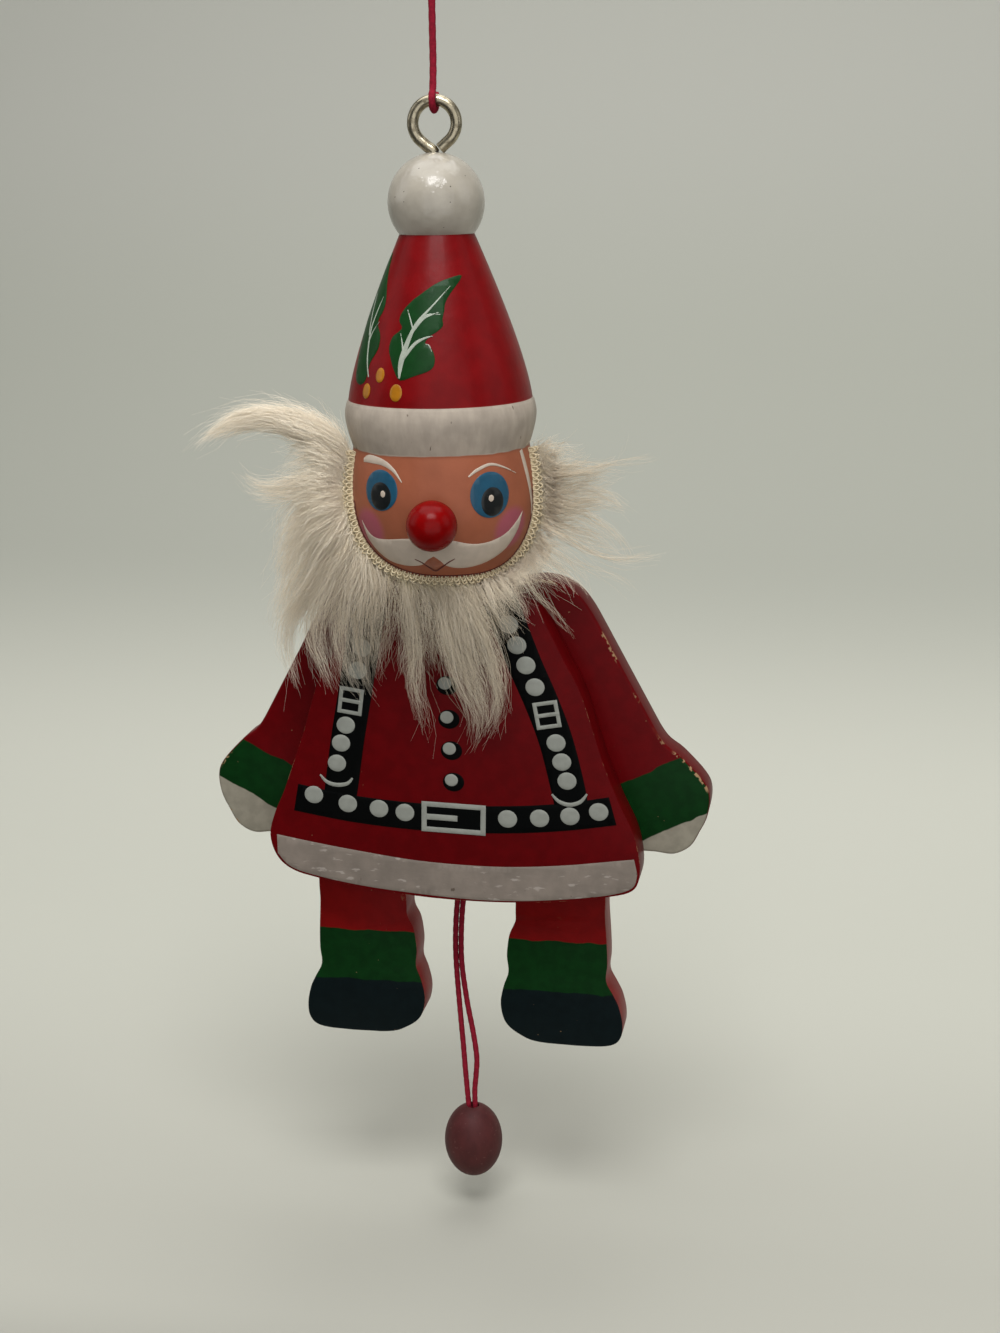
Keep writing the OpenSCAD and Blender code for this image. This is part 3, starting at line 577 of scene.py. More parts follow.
# Locks of fur: start along the strip from 0 to 1, half width in mm, hairs, tone from light to dark, and the places
# in mm that the lock runs through. The tone is partly the pile's own colour and partly painted light and shade: the
# upper left locks are drawn lightest, where light catches them, and the chin's locks darkest, in the shade under the
# face
FUR_LOCKS = [
    (0.00, 2.3, 1010, 0.00, [(-21.3, -9.5, -61.6), (-27.6, -9.2, -59.3), (-34.6, -8.7, -57.8), (-40.0, -8.1, -58.3),
        (-45.0, -7.4, -60.2), (-48.9, -6.7, -62.6), (-52.2, -6.0, -65.9)]),
    (0.02, 2.6, 360, 0.00, [(-22.2, -10.0, -63.4), (-26.4, -9.3, -61.9), (-30.4, -8.2, -61.1),
        (-34.3, -7.0, -60.3)]),
    (0.05, 2.8, 360, 0.00, [(-21.5, -10.5, -65.4), (-25.5, -9.9, -64.9), (-28.8, -9.0, -65.3),
        (-31.8, -8.0, -66.8)]),
    (0.07, 3.6, 515, 0.00, [(-22.0, -11.5, -68.1), (-26.9, -10.7, -68.1), (-31.0, -9.4, -69.4),
        (-33.9, -8.0, -71.8)]),
    (0.10, 2.4, 245, 0.33, [(-22.0, -12.0, -71.8), (-27.5, -11.5, -72.0), (-32.0, -10.8, -72.8),
        (-36.2, -10.0, -73.2), (-39.0, -9.0, -72.4), (-41.1, -8.1, -71.1), (-43.0, -7.0, -68.6)]),
    (0.11, 3.8, 540, 0.03, [(-22.0, -12.5, -74.2), (-26.5, -11.8, -75.9), (-30.0, -10.7, -78.4),
        (-32.4, -9.4, -81.7), (-34.3, -8.0, -85.2)]),
    (0.13, 3.8, 560, 0.03, [(-20.8, -12.5, -76.6), (-25.0, -11.8, -79.8), (-28.7, -10.7, -84.1),
        (-31.7, -9.4, -88.9), (-34.3, -8.0, -94.5)]),
    (0.15, 3.6, 540, 0.03, [(-19.8, -12.5, -79.1), (-23.6, -11.9, -83.3), (-27.2, -11.1, -88.9),
        (-30.6, -10.2, -94.7), (-33.6, -9.1, -100.9), (-35.1, -8.0, -105.4)]),
    (0.17, 0.9, 125, 0.63, [(-19.7, -12.0, -82.6), (-23.0, -11.4, -88.1), (-26.1, -10.5, -94.1),
        (-29.9, -9.4, -97.7), (-34.8, -8.3, -101.1), (-38.2, -7.0, -103.8)]),
    (0.19, 2.0, 270, 0.13, [(-19.7, -12.0, -84.3), (-23.7, -11.5, -90.4), (-27.9, -10.8, -96.0),
        (-31.2, -10.0, -101.7), (-32.4, -9.0, -107.2), (-31.4, -8.1, -113.2), (-31.2, -7.0, -117.2)]),
    (0.21, 3.0, 340, 0.40, [(-18.3, -12.0, -85.1), (-21.4, -11.5, -91.2), (-24.3, -10.7, -97.4),
        (-25.9, -9.8, -103.5), (-24.9, -8.8, -109.2), (-23.4, -7.7, -114.7), (-22.6, -6.5, -119.5)]),
    (0.24, 3.2, 300, 0.50, [(-15.1, -12.5, -89.1), (-17.2, -11.8, -95.7), (-18.6, -10.7, -102.4),
        (-18.8, -9.4, -109.3), (-17.6, -8.0, -115.1), (-15.7, -6.5, -118.1)]),
    (0.27, 3.0, 135, 0.80, [(-12.6, -12.5, -90.3), (-13.8, -11.8, -96.4), (-14.7, -10.7, -103.2),
        (-14.9, -9.4, -109.6), (-13.9, -8.0, -115.6), (-10.7, -6.5, -119.7)]),
    (0.31, 2.8, 80, 0.85, [(-10.3, -12.5, -91.5), (-10.9, -11.5, -97.3), (-11.9, -10.1, -104.1),
        (-13.0, -8.4, -110.6), (-13.8, -6.5, -115.6)]),
    (0.35, 2.6, 40, 0.95, [(-8.0, -12.5, -93.1), (-8.0, -11.4, -98.5), (-9.2, -9.9, -104.3), (-11.3, -8.0, -110.2),
        (-12.6, -6.0, -115.7)]),
    (0.38, 1.7, 60, 0.95, [(-5.7, -12.5, -94.3), (-5.4, -11.7, -99.6), (-5.6, -10.5, -105.9), (-5.9, -9.2, -112.8),
        (-5.1, -7.6, -118.9), (-3.9, -6.0, -124.7)]),
    (0.41, 1.9, 140, 0.85, [(-3.9, -13.0, -95.2), (-3.3, -12.3, -101.1), (-3.5, -11.3, -107.8),
        (-3.8, -10.2, -115.1), (-2.7, -8.9, -120.7), (-2.7, -7.5, -125.3), (-4.5, -6.0, -129.2)]),
    (0.44, 2.8, 85, 0.85, [(-0.9, -13.0, -95.3), (-0.6, -11.4, -100.4), (-0.8, -9.2, -106.1),
        (-0.7, -6.5, -112.0)]),
    (0.48, 2.5, 235, 0.75, [(2.8, -13.5, -95.5), (3.9, -12.8, -102.0), (5.1, -11.8, -108.6), (6.8, -10.7, -114.3),
        (8.2, -9.4, -119.4), (7.6, -8.0, -124.9), (3.9, -6.5, -129.7)]),
    (0.53, 2.9, 270, 0.70, [(5.5, -13.5, -95.5), (6.9, -12.9, -101.9), (8.5, -11.9, -108.5), (10.1, -10.9, -114.1),
        (10.8, -9.7, -119.0), (9.6, -8.4, -124.0), (7.1, -7.0, -127.4)]),
    (0.59, 2.6, 195, 0.75, [(8.3, -13.0, -95.5), (10.2, -12.4, -101.1), (11.8, -11.6, -106.3),
        (13.2, -10.6, -111.7), (13.2, -9.5, -116.3), (12.0, -8.3, -120.9), (10.2, -7.0, -124.4)]),
    (0.61, 0.7, 60, 0.80, [(10.0, -12.5, -98.5), (12.2, -11.6, -107.2), (12.9, -10.3, -114.0), (13.0, -8.7, -119.6),
        (13.4, -7.0, -124.5)]),
    (0.65, 2.6, 150, 0.70, [(11.8, -11.5, -93.6), (13.9, -10.7, -98.0), (15.3, -9.5, -101.6), (15.8, -8.1, -104.3),
        (14.9, -6.5, -106.2)]),
    (0.69, 2.4, 210, 0.55, [(15.0, -10.5, -92.5), (16.9, -9.5, -95.2), (18.0, -8.1, -98.0), (17.9, -6.5, -101.2)]),
    (0.74, 2.4, 220, 0.55, [(17.5, -9.5, -90.6), (18.5, -8.3, -93.3), (18.8, -6.5, -96.1)]),
    (0.78, 1.9, 230, 0.80, [(19.4, -8.0, -87.9), (21.8, -7.7, -92.1), (24.2, -7.2, -95.3), (26.4, -6.6, -99.0),
        (28.5, -6.0, -104.0)]),
    (0.80, 3.0, 276, 0.70, [(21.1, -7.0, -86.8), (24.3, -6.6, -90.0), (27.2, -6.1, -92.7), (28.9, -5.5, -95.8)]),
    (0.83, 3.2, 332, 0.65, [(22.2, -6.0, -84.7), (26.3, -5.8, -87.4), (29.7, -5.6, -90.1), (31.9, -5.3, -93.2),
        (32.2, -5.0, -96.3)]),
    (0.85, 1.3, 236, 0.90, [(22.7, -5.0, -83.0), (26.6, -4.9, -85.2), (29.7, -4.8, -87.3), (32.1, -4.6, -88.9),
        (34.8, -4.4, -89.3), (37.7, -4.2, -90.5), (39.5, -4.0, -91.8)]),
    (0.87, 0.9, 152, 0.90, [(23.4, -4.5, -81.0), (27.6, -4.4, -83.0), (31.7, -4.2, -85.0), (35.8, -4.0, -86.2),
        (39.7, -3.8, -86.8), (44.4, -3.5, -86.3)]),
    (0.89, 3.2, 552, 0.90, [(24.3, -4.5, -78.9), (29.2, -4.3, -80.1), (33.6, -4.1, -81.7), (36.8, -3.8, -84.0),
        (38.7, -3.5, -86.5)]),
    (0.92, 3.6, 636, 0.82, [(24.7, -4.0, -75.2), (30.0, -3.8, -75.0), (35.0, -3.4, -75.2), (38.5, -3.0, -76.7)]),
    (0.95, 3.5, 596, 0.72, [(24.1, -3.5, -72.0), (28.2, -3.4, -70.9), (32.6, -3.2, -70.3), (37.5, -3.0, -69.4)]),
    (0.97, 2.1, 416, 0.77, [(23.0, -3.0, -69.6), (26.4, -2.9, -68.3), (30.6, -2.8, -67.7), (34.9, -2.7, -66.8),
        (37.2, -2.6, -65.0), (38.6, -2.5, -62.9)]),
    (0.99, 2.9, 498, 0.67, [(22.8, -2.5, -67.6), (25.2, -2.5, -66.8), (27.6, -2.5, -66.1), (30.1, -2.5, -65.3)]),
    (0.96, 0.6, 36, 0.77, [(25.3, -3.0, -69.8), (31.5, -3.0, -68.7), (38.1, -3.0, -66.9), (45.6, -3.0, -65.4)]),
    (1.00, 1.6, 120, 0.30, [(21.2, -1.5, -66.2), (22.2, -1.5, -66.1), (23.2, -1.5, -67.2)])]


def strip_point(t, w, lift):
    """A place on the strip: t runs along it from 0 to 1 and w across it, from the face outwards"""
    n = len(STRIP_LINE) - 1
    i = min(int(t * n), n - 1)
    f = t * n - i
    a, share = STRIP_LINE[i] * (1 - f) + STRIP_LINE[i + 1] * f
    way = STRIP_LINE[i + 1] - STRIP_LINE[i]
    z0 = FACE_TOP - share * FACE_H
    r = jaw_r(z0)
    d = Vector((math.radians(way[0]) * r, way[1] * FACE_H * HEAD_R / r)).normalized()
    z = z0 - d[0] * w * STRIP_W * r / HEAD_R
    angle = math.radians(a) - d[1] * w * STRIP_W / r
    r1 = jaw_r(max(z, COAT_TOP)) + lift
    return Vector((r1 * math.sin(angle), -r1 * math.cos(angle), z))


def face_edges():
    """The strip's inner edge on the left and on the right of the face: heights, rising, and angles"""
    points = [strip_point(t, 0, 0) for t in np.linspace(0, 1, 120)]
    middle = min(range(120), key=lambda k: points[k].z)
    return [([p.z for p in part], [math.atan2(p.x, -p.y) for p in part])
            for part in (points[middle::-1], points[middle:])]


FACE_EDGES = face_edges()


def cord_mesh(name, route, diameter, material):
    """A cord of two plies, twisted along a route"""
    twist = 2 * math.pi / (bpy.context.scene.jack_sizes.lay_share * diameter)
    return build(name, *sweep(route, two_ply(diameter), twist), material, math.radians(70))


def even(route, step):
    """The route again, with points about step apart"""
    line = [Vector(p) for p in smooth_line(route, 8)]
    runs = [0.0]
    for a, b in zip(line, line[1:]):
        runs.append(runs[-1] + (b - a).length)
    count = max(2, round(runs[-1] / step))
    even_line, k = [], 0
    for i in range(count + 1):
        want = runs[-1] * i / count
        while k < len(runs) - 2 and runs[k + 1] < want:
            k += 1
        span = runs[k + 1] - runs[k]
        even_line.append(line[k].lerp(line[k + 1], (want - runs[k]) / span if span else 0))
    return even_line


def cord_finish():
    """Crimson cotton cord of two plies: soft, dusty, darker between the plies"""
    finish = Finish("cotton_cord_crimson", 0.9, **{"Specular IOR Level": 0.15})
    return finish.done(brushed(finish, "#8f1a2e", 0.7, 0.5 * MM), finish.pattern(0.25 * MM, 3), 0.08 * MM, 0.7)


def tie_knot(node, body, material):
    """A barrel knot in a node's place: the cord wrapped round itself, with one turn crossing over"""
    lo, hi = low(node), high(node)
    centre, diameter, height = (lo + hi) / 2, hi.x - lo.x, hi.z - lo.z
    cord, turns, steps = diameter * 0.34, 3, 16
    twist = 2 * math.pi / (3 * cord)
    wrap = []
    for i in range(steps * turns + 1):
        t = i / (steps * turns)
        wrap.append((2 * math.pi * turns * t, 1 - 0.25 * (2 * t - 1) ** 2, t - 0.5))
    over = [(math.radians(-130 + 80 * i / steps), 0.75 + 0.4 * math.sin(math.pi * i / steps), 0.5 - i / steps)
            for i in range(steps + 1)]
    routes = []
    for turn in (wrap, over):
        routes.append([(centre.x + (diameter - cord) / 2 * r * math.cos(a),
                        centre.y + (diameter - cord) / 2 * r * math.sin(a),
                        centre.z + (height - cord) * z) for a, r, z in turn])
    core = [(diameter / 2 * (0.3 + 0.6 * math.cos(math.radians(a))), math.sin(math.radians(a)))
            for a in range(-75, 90, 15)]
    core = [(r, centre.z + height / 2 * z) for r, z in [(0, -1)] + core + [(0, 1)]]
    parts = (sweep(routes[0], two_ply(cord * 1.12, 10), twist), sweep(routes[1], two_ply(cord, 10), twist),
             lathe(core, 20, centre))
    knot = join(node + "_tied", [build("turn", *part, material) for part in parts])
    return place(knot, body, "crimson_cord", node)


# The routes of the cords, as part.scad gives them: sideways and down in shares, depth at the cord's plane
LEFT_SHARES = [(-0.52, 0), (-0.9, 0.12), (-2.3, 0.27), (-2.75, 0.36), (-2.7, 0.44), (-2.2, 0.56),
               (-1.7, 0.66), (-1.35, 0.74), (-1.05, 0.8), (-0.75, 0.86), (-0.6, 0.93), (-0.6, 1)]
RIGHT_SHARES = [(0.52, 0), (0.15, 0.12), (-1.2, 0.27), (-1.65, 0.36), (-1.6, 0.44), (-0.75, 0.54),
                (0.35, 0.63), (0.95, 0.7), (0.75, 0.75), (0.42, 0.8), (0.5, 0.88), (0.5, 1)]
EYE_RING = 8.9 * MM
EYE_WIRE = 2.1 * MM
KNOT_D = 3.8 * MM
BEAD_MID = -231.387 * MM
CORD_STEP = 0.45 * MM
# How much thicker the strands and the eye's wire are drawn than their solids, as the photograph shows them
STRAND_SHARE, WIRE_SHARE = 1.12, 1.1
ARM_CRANK, LEG_CRANK = 7.0 * MM, 9.5 * MM
ARM_CRANK_ANGLE, LEG_CRANK_ANGLE = math.radians(35), math.radians(25)


def make_cords():
    """Pull cord, cross cords, hanging cord and their knots"""
    sizes = bpy.context.scene.jack_sizes
    material = cord_finish()
    knots = [tie_knot(node, "pull_string", material) for node in ("arm_knot", "leg_knot", "bead_knot")]
    top, bottom = low("leg_knot").z, high("bead_knot").z
    for side, shares in (("left", LEFT_SHARES), ("right", RIGHT_SHARES)):
        route = even([(COAT_X + s * sizes.cord_d, CORD_Y, top + d * (bottom - top)) for s, d in shares], CORD_STEP)
        strand = place(cord_mesh("pull_string_" + side, route, sizes.cord_d * STRAND_SHARE, material),
                       "pull_string", "crimson_cord", "pull_cord_" + side)
    lo, hi = low("link_cord").z, high("link_cord").z
    link = even([(COAT_X, CORD_Y, z) for z in (hi, (hi + lo) / 2, lo)], CORD_STEP)
    place(cord_mesh("link_string", link, sizes.cord_d, material), "pull_string", "crimson_cord", "link_cord")
    loop_r = 0.6 * MM + ARM_CRANK * (1 - math.cos(ARM_CRANK_ANGLE)) / 2 + 0.77 * sizes.cord_d
    reach = KNOT_D / 2 + sizes.cord_d / 8
    for limb, crank, turn in (("arm", ARM_CRANK, ARM_CRANK_ANGLE), ("leg", LEG_CRANK, LEG_CRANK_ANGLE)):
        halves = []
        knot_z = (low(limb + "_knot").z + high(limb + "_knot").z) / 2
        for side, word in ((-1, "left"), (1, "right")):
            tack = (low(f"{word}_{limb}_tack") + high(f"{word}_{limb}_tack")) / 2
            loop_x = abs(tack.x - COAT_X) - crank * (1 - math.cos(turn)) / 2
            run = [(reach + s * (loop_x - loop_r - reach), knot_z + s * s * (tack.z - knot_z)) for s in (0, 0.5)]
            run += [(loop_x + loop_r * math.cos(a), tack.z + loop_r * math.sin(a))
                    for a in (math.radians(180 + 33 * i) for i in range(11))]
            route = even([(COAT_X + side * x, CORD_Y, z) for x, z in run], CORD_STEP)
            halves.append(cord_mesh("half", route, sizes.cord_d, material))
        place(join(limb + "_string", halves), "pull_string", "crimson_cord", limb + "_cord")
    d = sizes.hang_cord_d
    loop_r = (EYE_WIRE + d) / 2 + d / 10
    hang = [(0, loop_r * math.sin(a), EYE_RING / 2 + loop_r * math.cos(a))
            for a in (math.radians(angle) for angle in range(50, 331, 28))]
    end = low("hanging_knot").z
    route = even(hang + [(0, -loop_r / 5 if s < 0.4 else 0, s * end) for s in (0.32, 0.45, 0.7, 1)], 0.5 * MM)
    cord = place(cord_mesh("hanging_string", route, d, material), "figure", "crimson_cord", "hanging_cord")
    knot = tie_knot("hanging_knot", "figure", material)


def make_eye():
    """Screw eye: one wire bent into a ring whose two ends run together in a V above the shank"""
    r, lean = EYE_RING / 2, 40
    a = math.radians(lean)
    side, foot, apex = r * math.sin(a), -r * math.cos(a), -r / math.cos(a)
    stop = (EYE_WIRE / 2 * (1 + math.cos(2 * a)) + 0.08 * EYE_WIRE) / math.sin(2 * a)
    down = r * math.tan(a) - stop
    tail = [(side - down * math.cos(a) * f, 0, foot - down * math.sin(a) * f) for f in (1, 0.5)]
    ring = [(r * math.sin(math.radians(t)), 0, r * math.cos(math.radians(t)))
            for t in np.linspace(180 - lean, lean - 180, 61)]
    shank = [(-side / 2, 0, (foot + apex) / 2), (-side * 0.16, 0, apex + 0.55 * MM), (0, 0, apex - 0.45 * MM),
             (0, 0, apex - 2 * MM), (0, 0, low("screw_eye").z)]
    # Nickel plated steel wire, drawn and bent: a warm gleam that is duller where the plating has worn
    finish = Finish("nickel_plated_wire", 0.22, Metallic=1.0)
    worn = finish.mask((finish.pattern(1.1 * MM, 4), 0.42, 0.7))
    rough = finish.node("Math", {0: worn, 1: 0.2, 2: 0.26}, operation="MULTIPLY_ADD")
    nickel = finish.done(finish.laid(to_linear("#aba28c"), to_linear("#857c68"), worn), Roughness=rough)
    outline = ring_outline(EYE_WIRE / 2 * WIRE_SHARE, 24)
    wire = build("eye_wire", *sweep(smooth_line(tail + ring + shank, 2), outline), nickel)
    place(wire, "figure", "nickel_wire", "screw_eye")


def make_head():
    """Ball, hat with its brim, face and nose, turned from beech and enamelled"""
    bottom, top = low("pompom_ball").z, high("pompom_ball").z
    r = high("pompom_ball").x
    flat, bore = math.asin((top - r - bottom) / r), EYE_WIRE / 2
    profile = [(r * math.cos(a), top - r + r * math.sin(a)) for a in np.linspace(-flat, math.acos(bore / r), 60)]
    ball = build("hat_ball", *lathe([(bore, bottom)] + profile + [(bore, bottom)], 96), speckled_white())
    place(ball, "figure", "white_enamel", "pompom_ball")
    head = build("head_turned", *lathe([(0, HAT_TOP)] + HEAD_SIDE + [(0, COAT_TOP)], 180), head_finish())
    place(head, "figure", "head_enamel", "head")
    nose_r, turn = 5.1 * MM, math.radians(7)
    out = HEAD_R + 0.42 * 2 * nose_r
    centre = Vector((out * math.sin(turn), -out * math.cos(turn), FACE_TOP - 0.435 * FACE_H))
    shell = bmesh.new()
    bmesh.ops.create_icosphere(shell, subdivisions=5, radius=nose_r, matrix=Matrix.Translation(centre))
    mesh = finished(shell, bpy.data.meshes.new("nose_bead"))
    red = enamel("nose_enamel", "#7a0304", 0.24, 0.0, shine=0.1)
    place(new_object("nose_bead", mesh, red), "figure", "nose_enamel", "nose")


def speckled_white():
    """Gloss white enamel on the ball, with a few dark specks and a skin uneven enough to break up reflections"""
    finish = Finish("ball_white_enamel", 0.25, **{
        "Coat Weight": 0.45, "Coat Roughness": 0.05, "Specular IOR Level": 0.3})
    white = brushed(finish, "#a69f92", 0.86, 5 * MM)
    colour = finish.laid(white, to_linear("#3d342c"), (finish.pattern(0.9 * MM, 1), 0.765, 0.785))
    uneven = finish.node("Math", {0: finish.pattern(0.9 * MM, 1), 1: 0.15, 2: finish.pattern(3.5 * MM, 1)},
                         operation="MULTIPLY_ADD")
    ripple = finish.node("Bump", {"Height": finish.pattern(1.5 * MM, 1.5), "Distance": 0.32 * MM, "Strength": 1.0})
    return finish.done(colour, uneven, 0.35 * MM, 0.5, **{"Coat Normal": ripple})


def head_finish():
    """The turned head: satin red hat, old white brim and flesh face, each by its height, with pink cheeks"""
    paints = bpy.context.scene.jack_paints
    finish = Finish("head_oil_enamel", 0.4, **{
        "Coat Weight": 0.04, "Coat Roughness": 0.16, "Specular IOR Level": 0.12})
    z = finish.node("SeparateXYZ", {0: finish.coords["Object"]}, 2)
    wobble = 0.9 * MM
    height = finish.node("Math", {0: finish.pattern(6 * MM, 2), 1: wobble, 2: z}, operation="MULTIPLY_ADD")
    flesh = brushed(finish, paints.flesh, 0.86, 7 * MM)
    for angle, cheek_z, size in ((-40, -79.6, 5.2), (60, -80.0, 5.6)):
        a = math.radians(angle)
        centre = (HEAD_R * math.sin(a), -HEAD_R * math.cos(a), cheek_z * MM)
        away = finish.node("VectorMath", {0: finish.coords["Object"], 1: centre}, 1, operation="DISTANCE")
        flesh = finish.laid(flesh, to_linear("#a04a68"), (away, size * MM, (size - 2.2) * MM), 0.62)
    brim = FACE_TOP + wobble / 2
    skin = finish.laid(flesh, old_white(finish, paints.white, (1, 1, 3.5)),
                       (height, brim - 0.15 * MM, brim + 0.1 * MM))
    colour = finish.laid(skin, brushed(finish, paints.hat_red, 0.8, 4 * MM),
                         (z, BRIM_TOP - 0.05 * MM, BRIM_TOP + 0.1 * MM))
    band = finish.mask((z, FACE_TOP - 0.3 * MM, FACE_TOP), (z, BRIM_TOP, BRIM_TOP - 0.1 * MM))
    rough, depth = (finish.node("Math", {0: band, 1: gain, 2: base}, operation="MULTIPLY_ADD")
                    for gain, base in ((0.15, 0.38), (0.5, 0.1)))
    strokes = finish.node("Math", {0: finish.pattern(0.9 * MM, 3, (1, 1, 5)), 1: depth,
                                   2: finish.pattern(3.5 * MM, 4)}, operation="MULTIPLY_ADD")
    return finish.done(colour, strokes, 0.2 * MM, 0.5, Roughness=rough)


def paint_marks(name, marks, skin, slot):
    """Films of paint, one over the other, as one piece: each mark is an outline, a level and a material"""
    lift = bpy.context.scene.jack_sizes.paint_lift
    films = [film(name, finer(outline, 1.1 * MM), skin, level * FILM_STEP, lift, material)
             for outline, level, material in marks]
    return place(join(name, films), "figure", slot)


def stroked(points, widths, level, material):
    """A stroke's mark on the head; widths in mm"""
    return (stroke(around(points), [w * MM for w in widths]), level, material)


def oval(centre, size, tilt, sides):
    """An oval on the head, from its middle and its half size, both as (degrees round the head, mm)"""
    middle, (wide, tall) = around([centre, size])
    return disc(middle, wide, tall / wide, tilt, sides)


def paint_face():
    """Eyes, brows, moustache, mouth and sideburn"""
    blue = enamel("eye_blue_enamel", "#1b4d66", 0.36, 0.1)
    black = enamel("pupil_black_enamel", "#101314", 0.36, 0.1)
    white = enamel("stroke_white_enamel", "#c0b1a1", 0.4, 0.1, darker=0.9)
    flesh = enamel("lip_flesh_enamel", bpy.context.scene.jack_paints.flesh, 0.35)
    dark = enamel("mouth_red_line", "#5a2018", 0.5)
    marks = []
    for eye, eye_size, pupil, pupil_size, glint in (
            ((-27.7, -71.15), (12.6, 4.15), (-27.4, -72.3), (8.0, 2.85), (-25.4, -71.8)),
            ((42.4, -72.15), (13.5, 4.65), (43.4, -73.55), (7.8, 2.95), (42.4, -72.8))):
        marks += [(oval(eye, eye_size, math.radians(4), 40), 1, blue), (oval(pupil, pupil_size, 0, 32), 2, black),
                  (disc(*around([glint]), 0.62 * MM, 1.15, 0, 16), 3, white)]
    marks.append(stroked([(-45.5, -65.7), (-39.1, -65.2), (-26.9, -65.6), (-18.3, -67.0), (-12.5, -69.2)],
                         [0.8, 1.6, 1.2, 0.7, 0.2], 0.5, white))
    marks.append(stroked([(28.5, -68.2), (34.1, -67.0), (43.4, -66.1), (53, -66.9), (64, -68.6)],
                         [0.3, 0.62, 0.55, 0.35, 0.12], 0.5, white))
    top = [(-46.8, -78.0), (-41.5, -80.3), (-35.1, -81.3), (-24, -81.2), (-11.3, -80.7), (5, -80.6), (17.7, -81.0),
           (31, -82.0), (44.2, -81.8), (57, -80.2), (69, -76.6)]
    bottom = [(66.5, -80.3), (59.5, -84.0), (48, -86.2), (36.1, -87.2), (25, -87.4), (16.1, -86.9), (10.5, -86.0),
              (5.5, -84.9), (0, -85.9), (-6.3, -86.7), (-18, -86.9), (-30.1, -86.2), (-39, -84.3), (-44.3, -81.8)]
    marks.append((smooth_line(around(top), 4) + smooth_line(around(bottom), 4), 0.5, white))
    lips = around([(-2.2, -86.2), (1.2, -85.2), (5.6, -84.4), (9.8, -85.4), (12.6, -86.3), (8.6, -87.1),
                   (5.8, -87.6), (2.0, -87.0)])
    marks.append((lips, 1.6, flesh))
    marks.append(stroked([(-8.0, -85.2), (-3.5, -85.9), (1.0, -87.0), (5.6, -87.9), (10.5, -87.1), (15.5, -85.9),
                          (20.0, -85.1)], [0.2, 0.3, 0.34, 0.36, 0.34, 0.3, 0.18], 2.6, dark))
    marks.append(stroked([(73.5, -64.4), (76.5, -68.5), (81, -74), (86, -81)], [1.3, 1.5, 1.1, 0.4], 0.5, white))
    paint_marks("face_paint", marks, head_skin, "head_enamel")


def paint_hat():
    """Holly leaves with brushed veins, and three berries"""
    green = enamel("holly_green_enamel", "#0a3912", 0.42, 0.03, shine=0.15)
    vein = enamel("vein_white_enamel", "#a3ab9c", 0.45, darker=0.8)
    yellow = enamel("berry_yellow_enamel", "#a66b0a", 0.36, 0.1)
    right = closed_line([(38.4, -29.3), (25.9, -32.1), (18.9, -34.2), (17.3, -35.9), (15.6, -37.4), (15.7, -38.7),
                         (10.9, -39.8), (5.9, -40.6), (2.3, -41.9), (6.8, -42.9), (9.3, -44.6), (8.4, -46.4),
                         (3.9, -47.4), (-4.1, -48.2), (-13.6, -49.1), (-18.6, -47.4), (-22.7, -45.2),
                         (-25.8, -43.1), (-24.7, -41.0), (-20.0, -39.9), (-17.3, -39.0), (-20.9, -37.7),
                         (-19.1, -36.0), (-12.2, -34.1), (-4.6, -32.8), (9.4, -30.8), (23.9, -29.7)], 3)
    left = closed_line([(-68.0, -25.0), (-53.0, -29.5), (-43.0, -33.4), (-41.5, -35.8), (-45.0, -38.2),
                        (-37.5, -40.8), (-36.5, -43.4), (-42.0, -46.2), (-43.5, -49.6), (-50.0, -50.6),
                        (-58.0, -49.6), (-63.0, -46.0), (-70.0, -41.0), (-80.0, -34.0)], 4)
    marks = [(around(leaf), 0.5, green) for leaf in (right, left)]
    for points, widths in (
            ([(-14.4, -48.7), (-14.3, -45.9), (-12.6, -43.4), (-8.5, -40.0), (-3.1, -37.6), (6.1, -35.2),
              (16.5, -32.8), (24.4, -31.2)], [0.4, 1.25, 1.3, 0.95, 0.75, 0.4, 0.25, 0.12]),
            ([(-13.2, -45.0), (-5.7, -42.2), (1.8, -41.0), (7.8, -40.6)], [0.8, 0.7, 0.4, 0.15]),
            ([(-17.5, -40.1), (-14.9, -42.2), (-13.0, -44.4)], [0.12, 0.35, 0.45]),
            ([(-14.4, -35.6), (-11.2, -37.2), (-7.8, -39.2)], [0.12, 0.3, 0.4]),
            ([(-7.4, -39.6), (1.0, -37.2), (12.6, -36.1)], [0.6, 0.4, 0.15]),
            ([(-4.0, -38.1), (3.0, -36.6), (14.0, -36.5)], [0.4, 0.3, 0.12]),
            ([(2.7, -42.1), (5.3, -42.4), (7.2, -43.5)], [0.12, 0.25, 0.14]),
            ([(-40.5, -48.9), (-45.7, -45.9), (-50.4, -42.1), (-52.6, -39.1), (-50.4, -36.0), (-47.5, -33.4)],
             [0.3, 0.45, 0.6, 0.65, 0.45, 0.15]),
            ([(-50.7, -42.5), (-48.3, -40.2), (-42.9, -38.2)], [0.5, 0.35, 0.12]),
            ([(-53.0, -41.0), (-60.0, -37.0), (-66.0, -33.0)], [0.4, 0.35, 0.12])):
        marks.append(stroked(points, widths, 2, vein))
    for a, z, r in ((-29.7, -48.3, 1.25), (-40.4, -51.6, 1.3), (-15.9, -51.5, 1.45)):
        marks.append((disc(*around([(a, z)]), r * MM, 1.15, 0, 24), 1, yellow))
    paint_marks("hat_paint", marks, head_skin, "head_enamel")


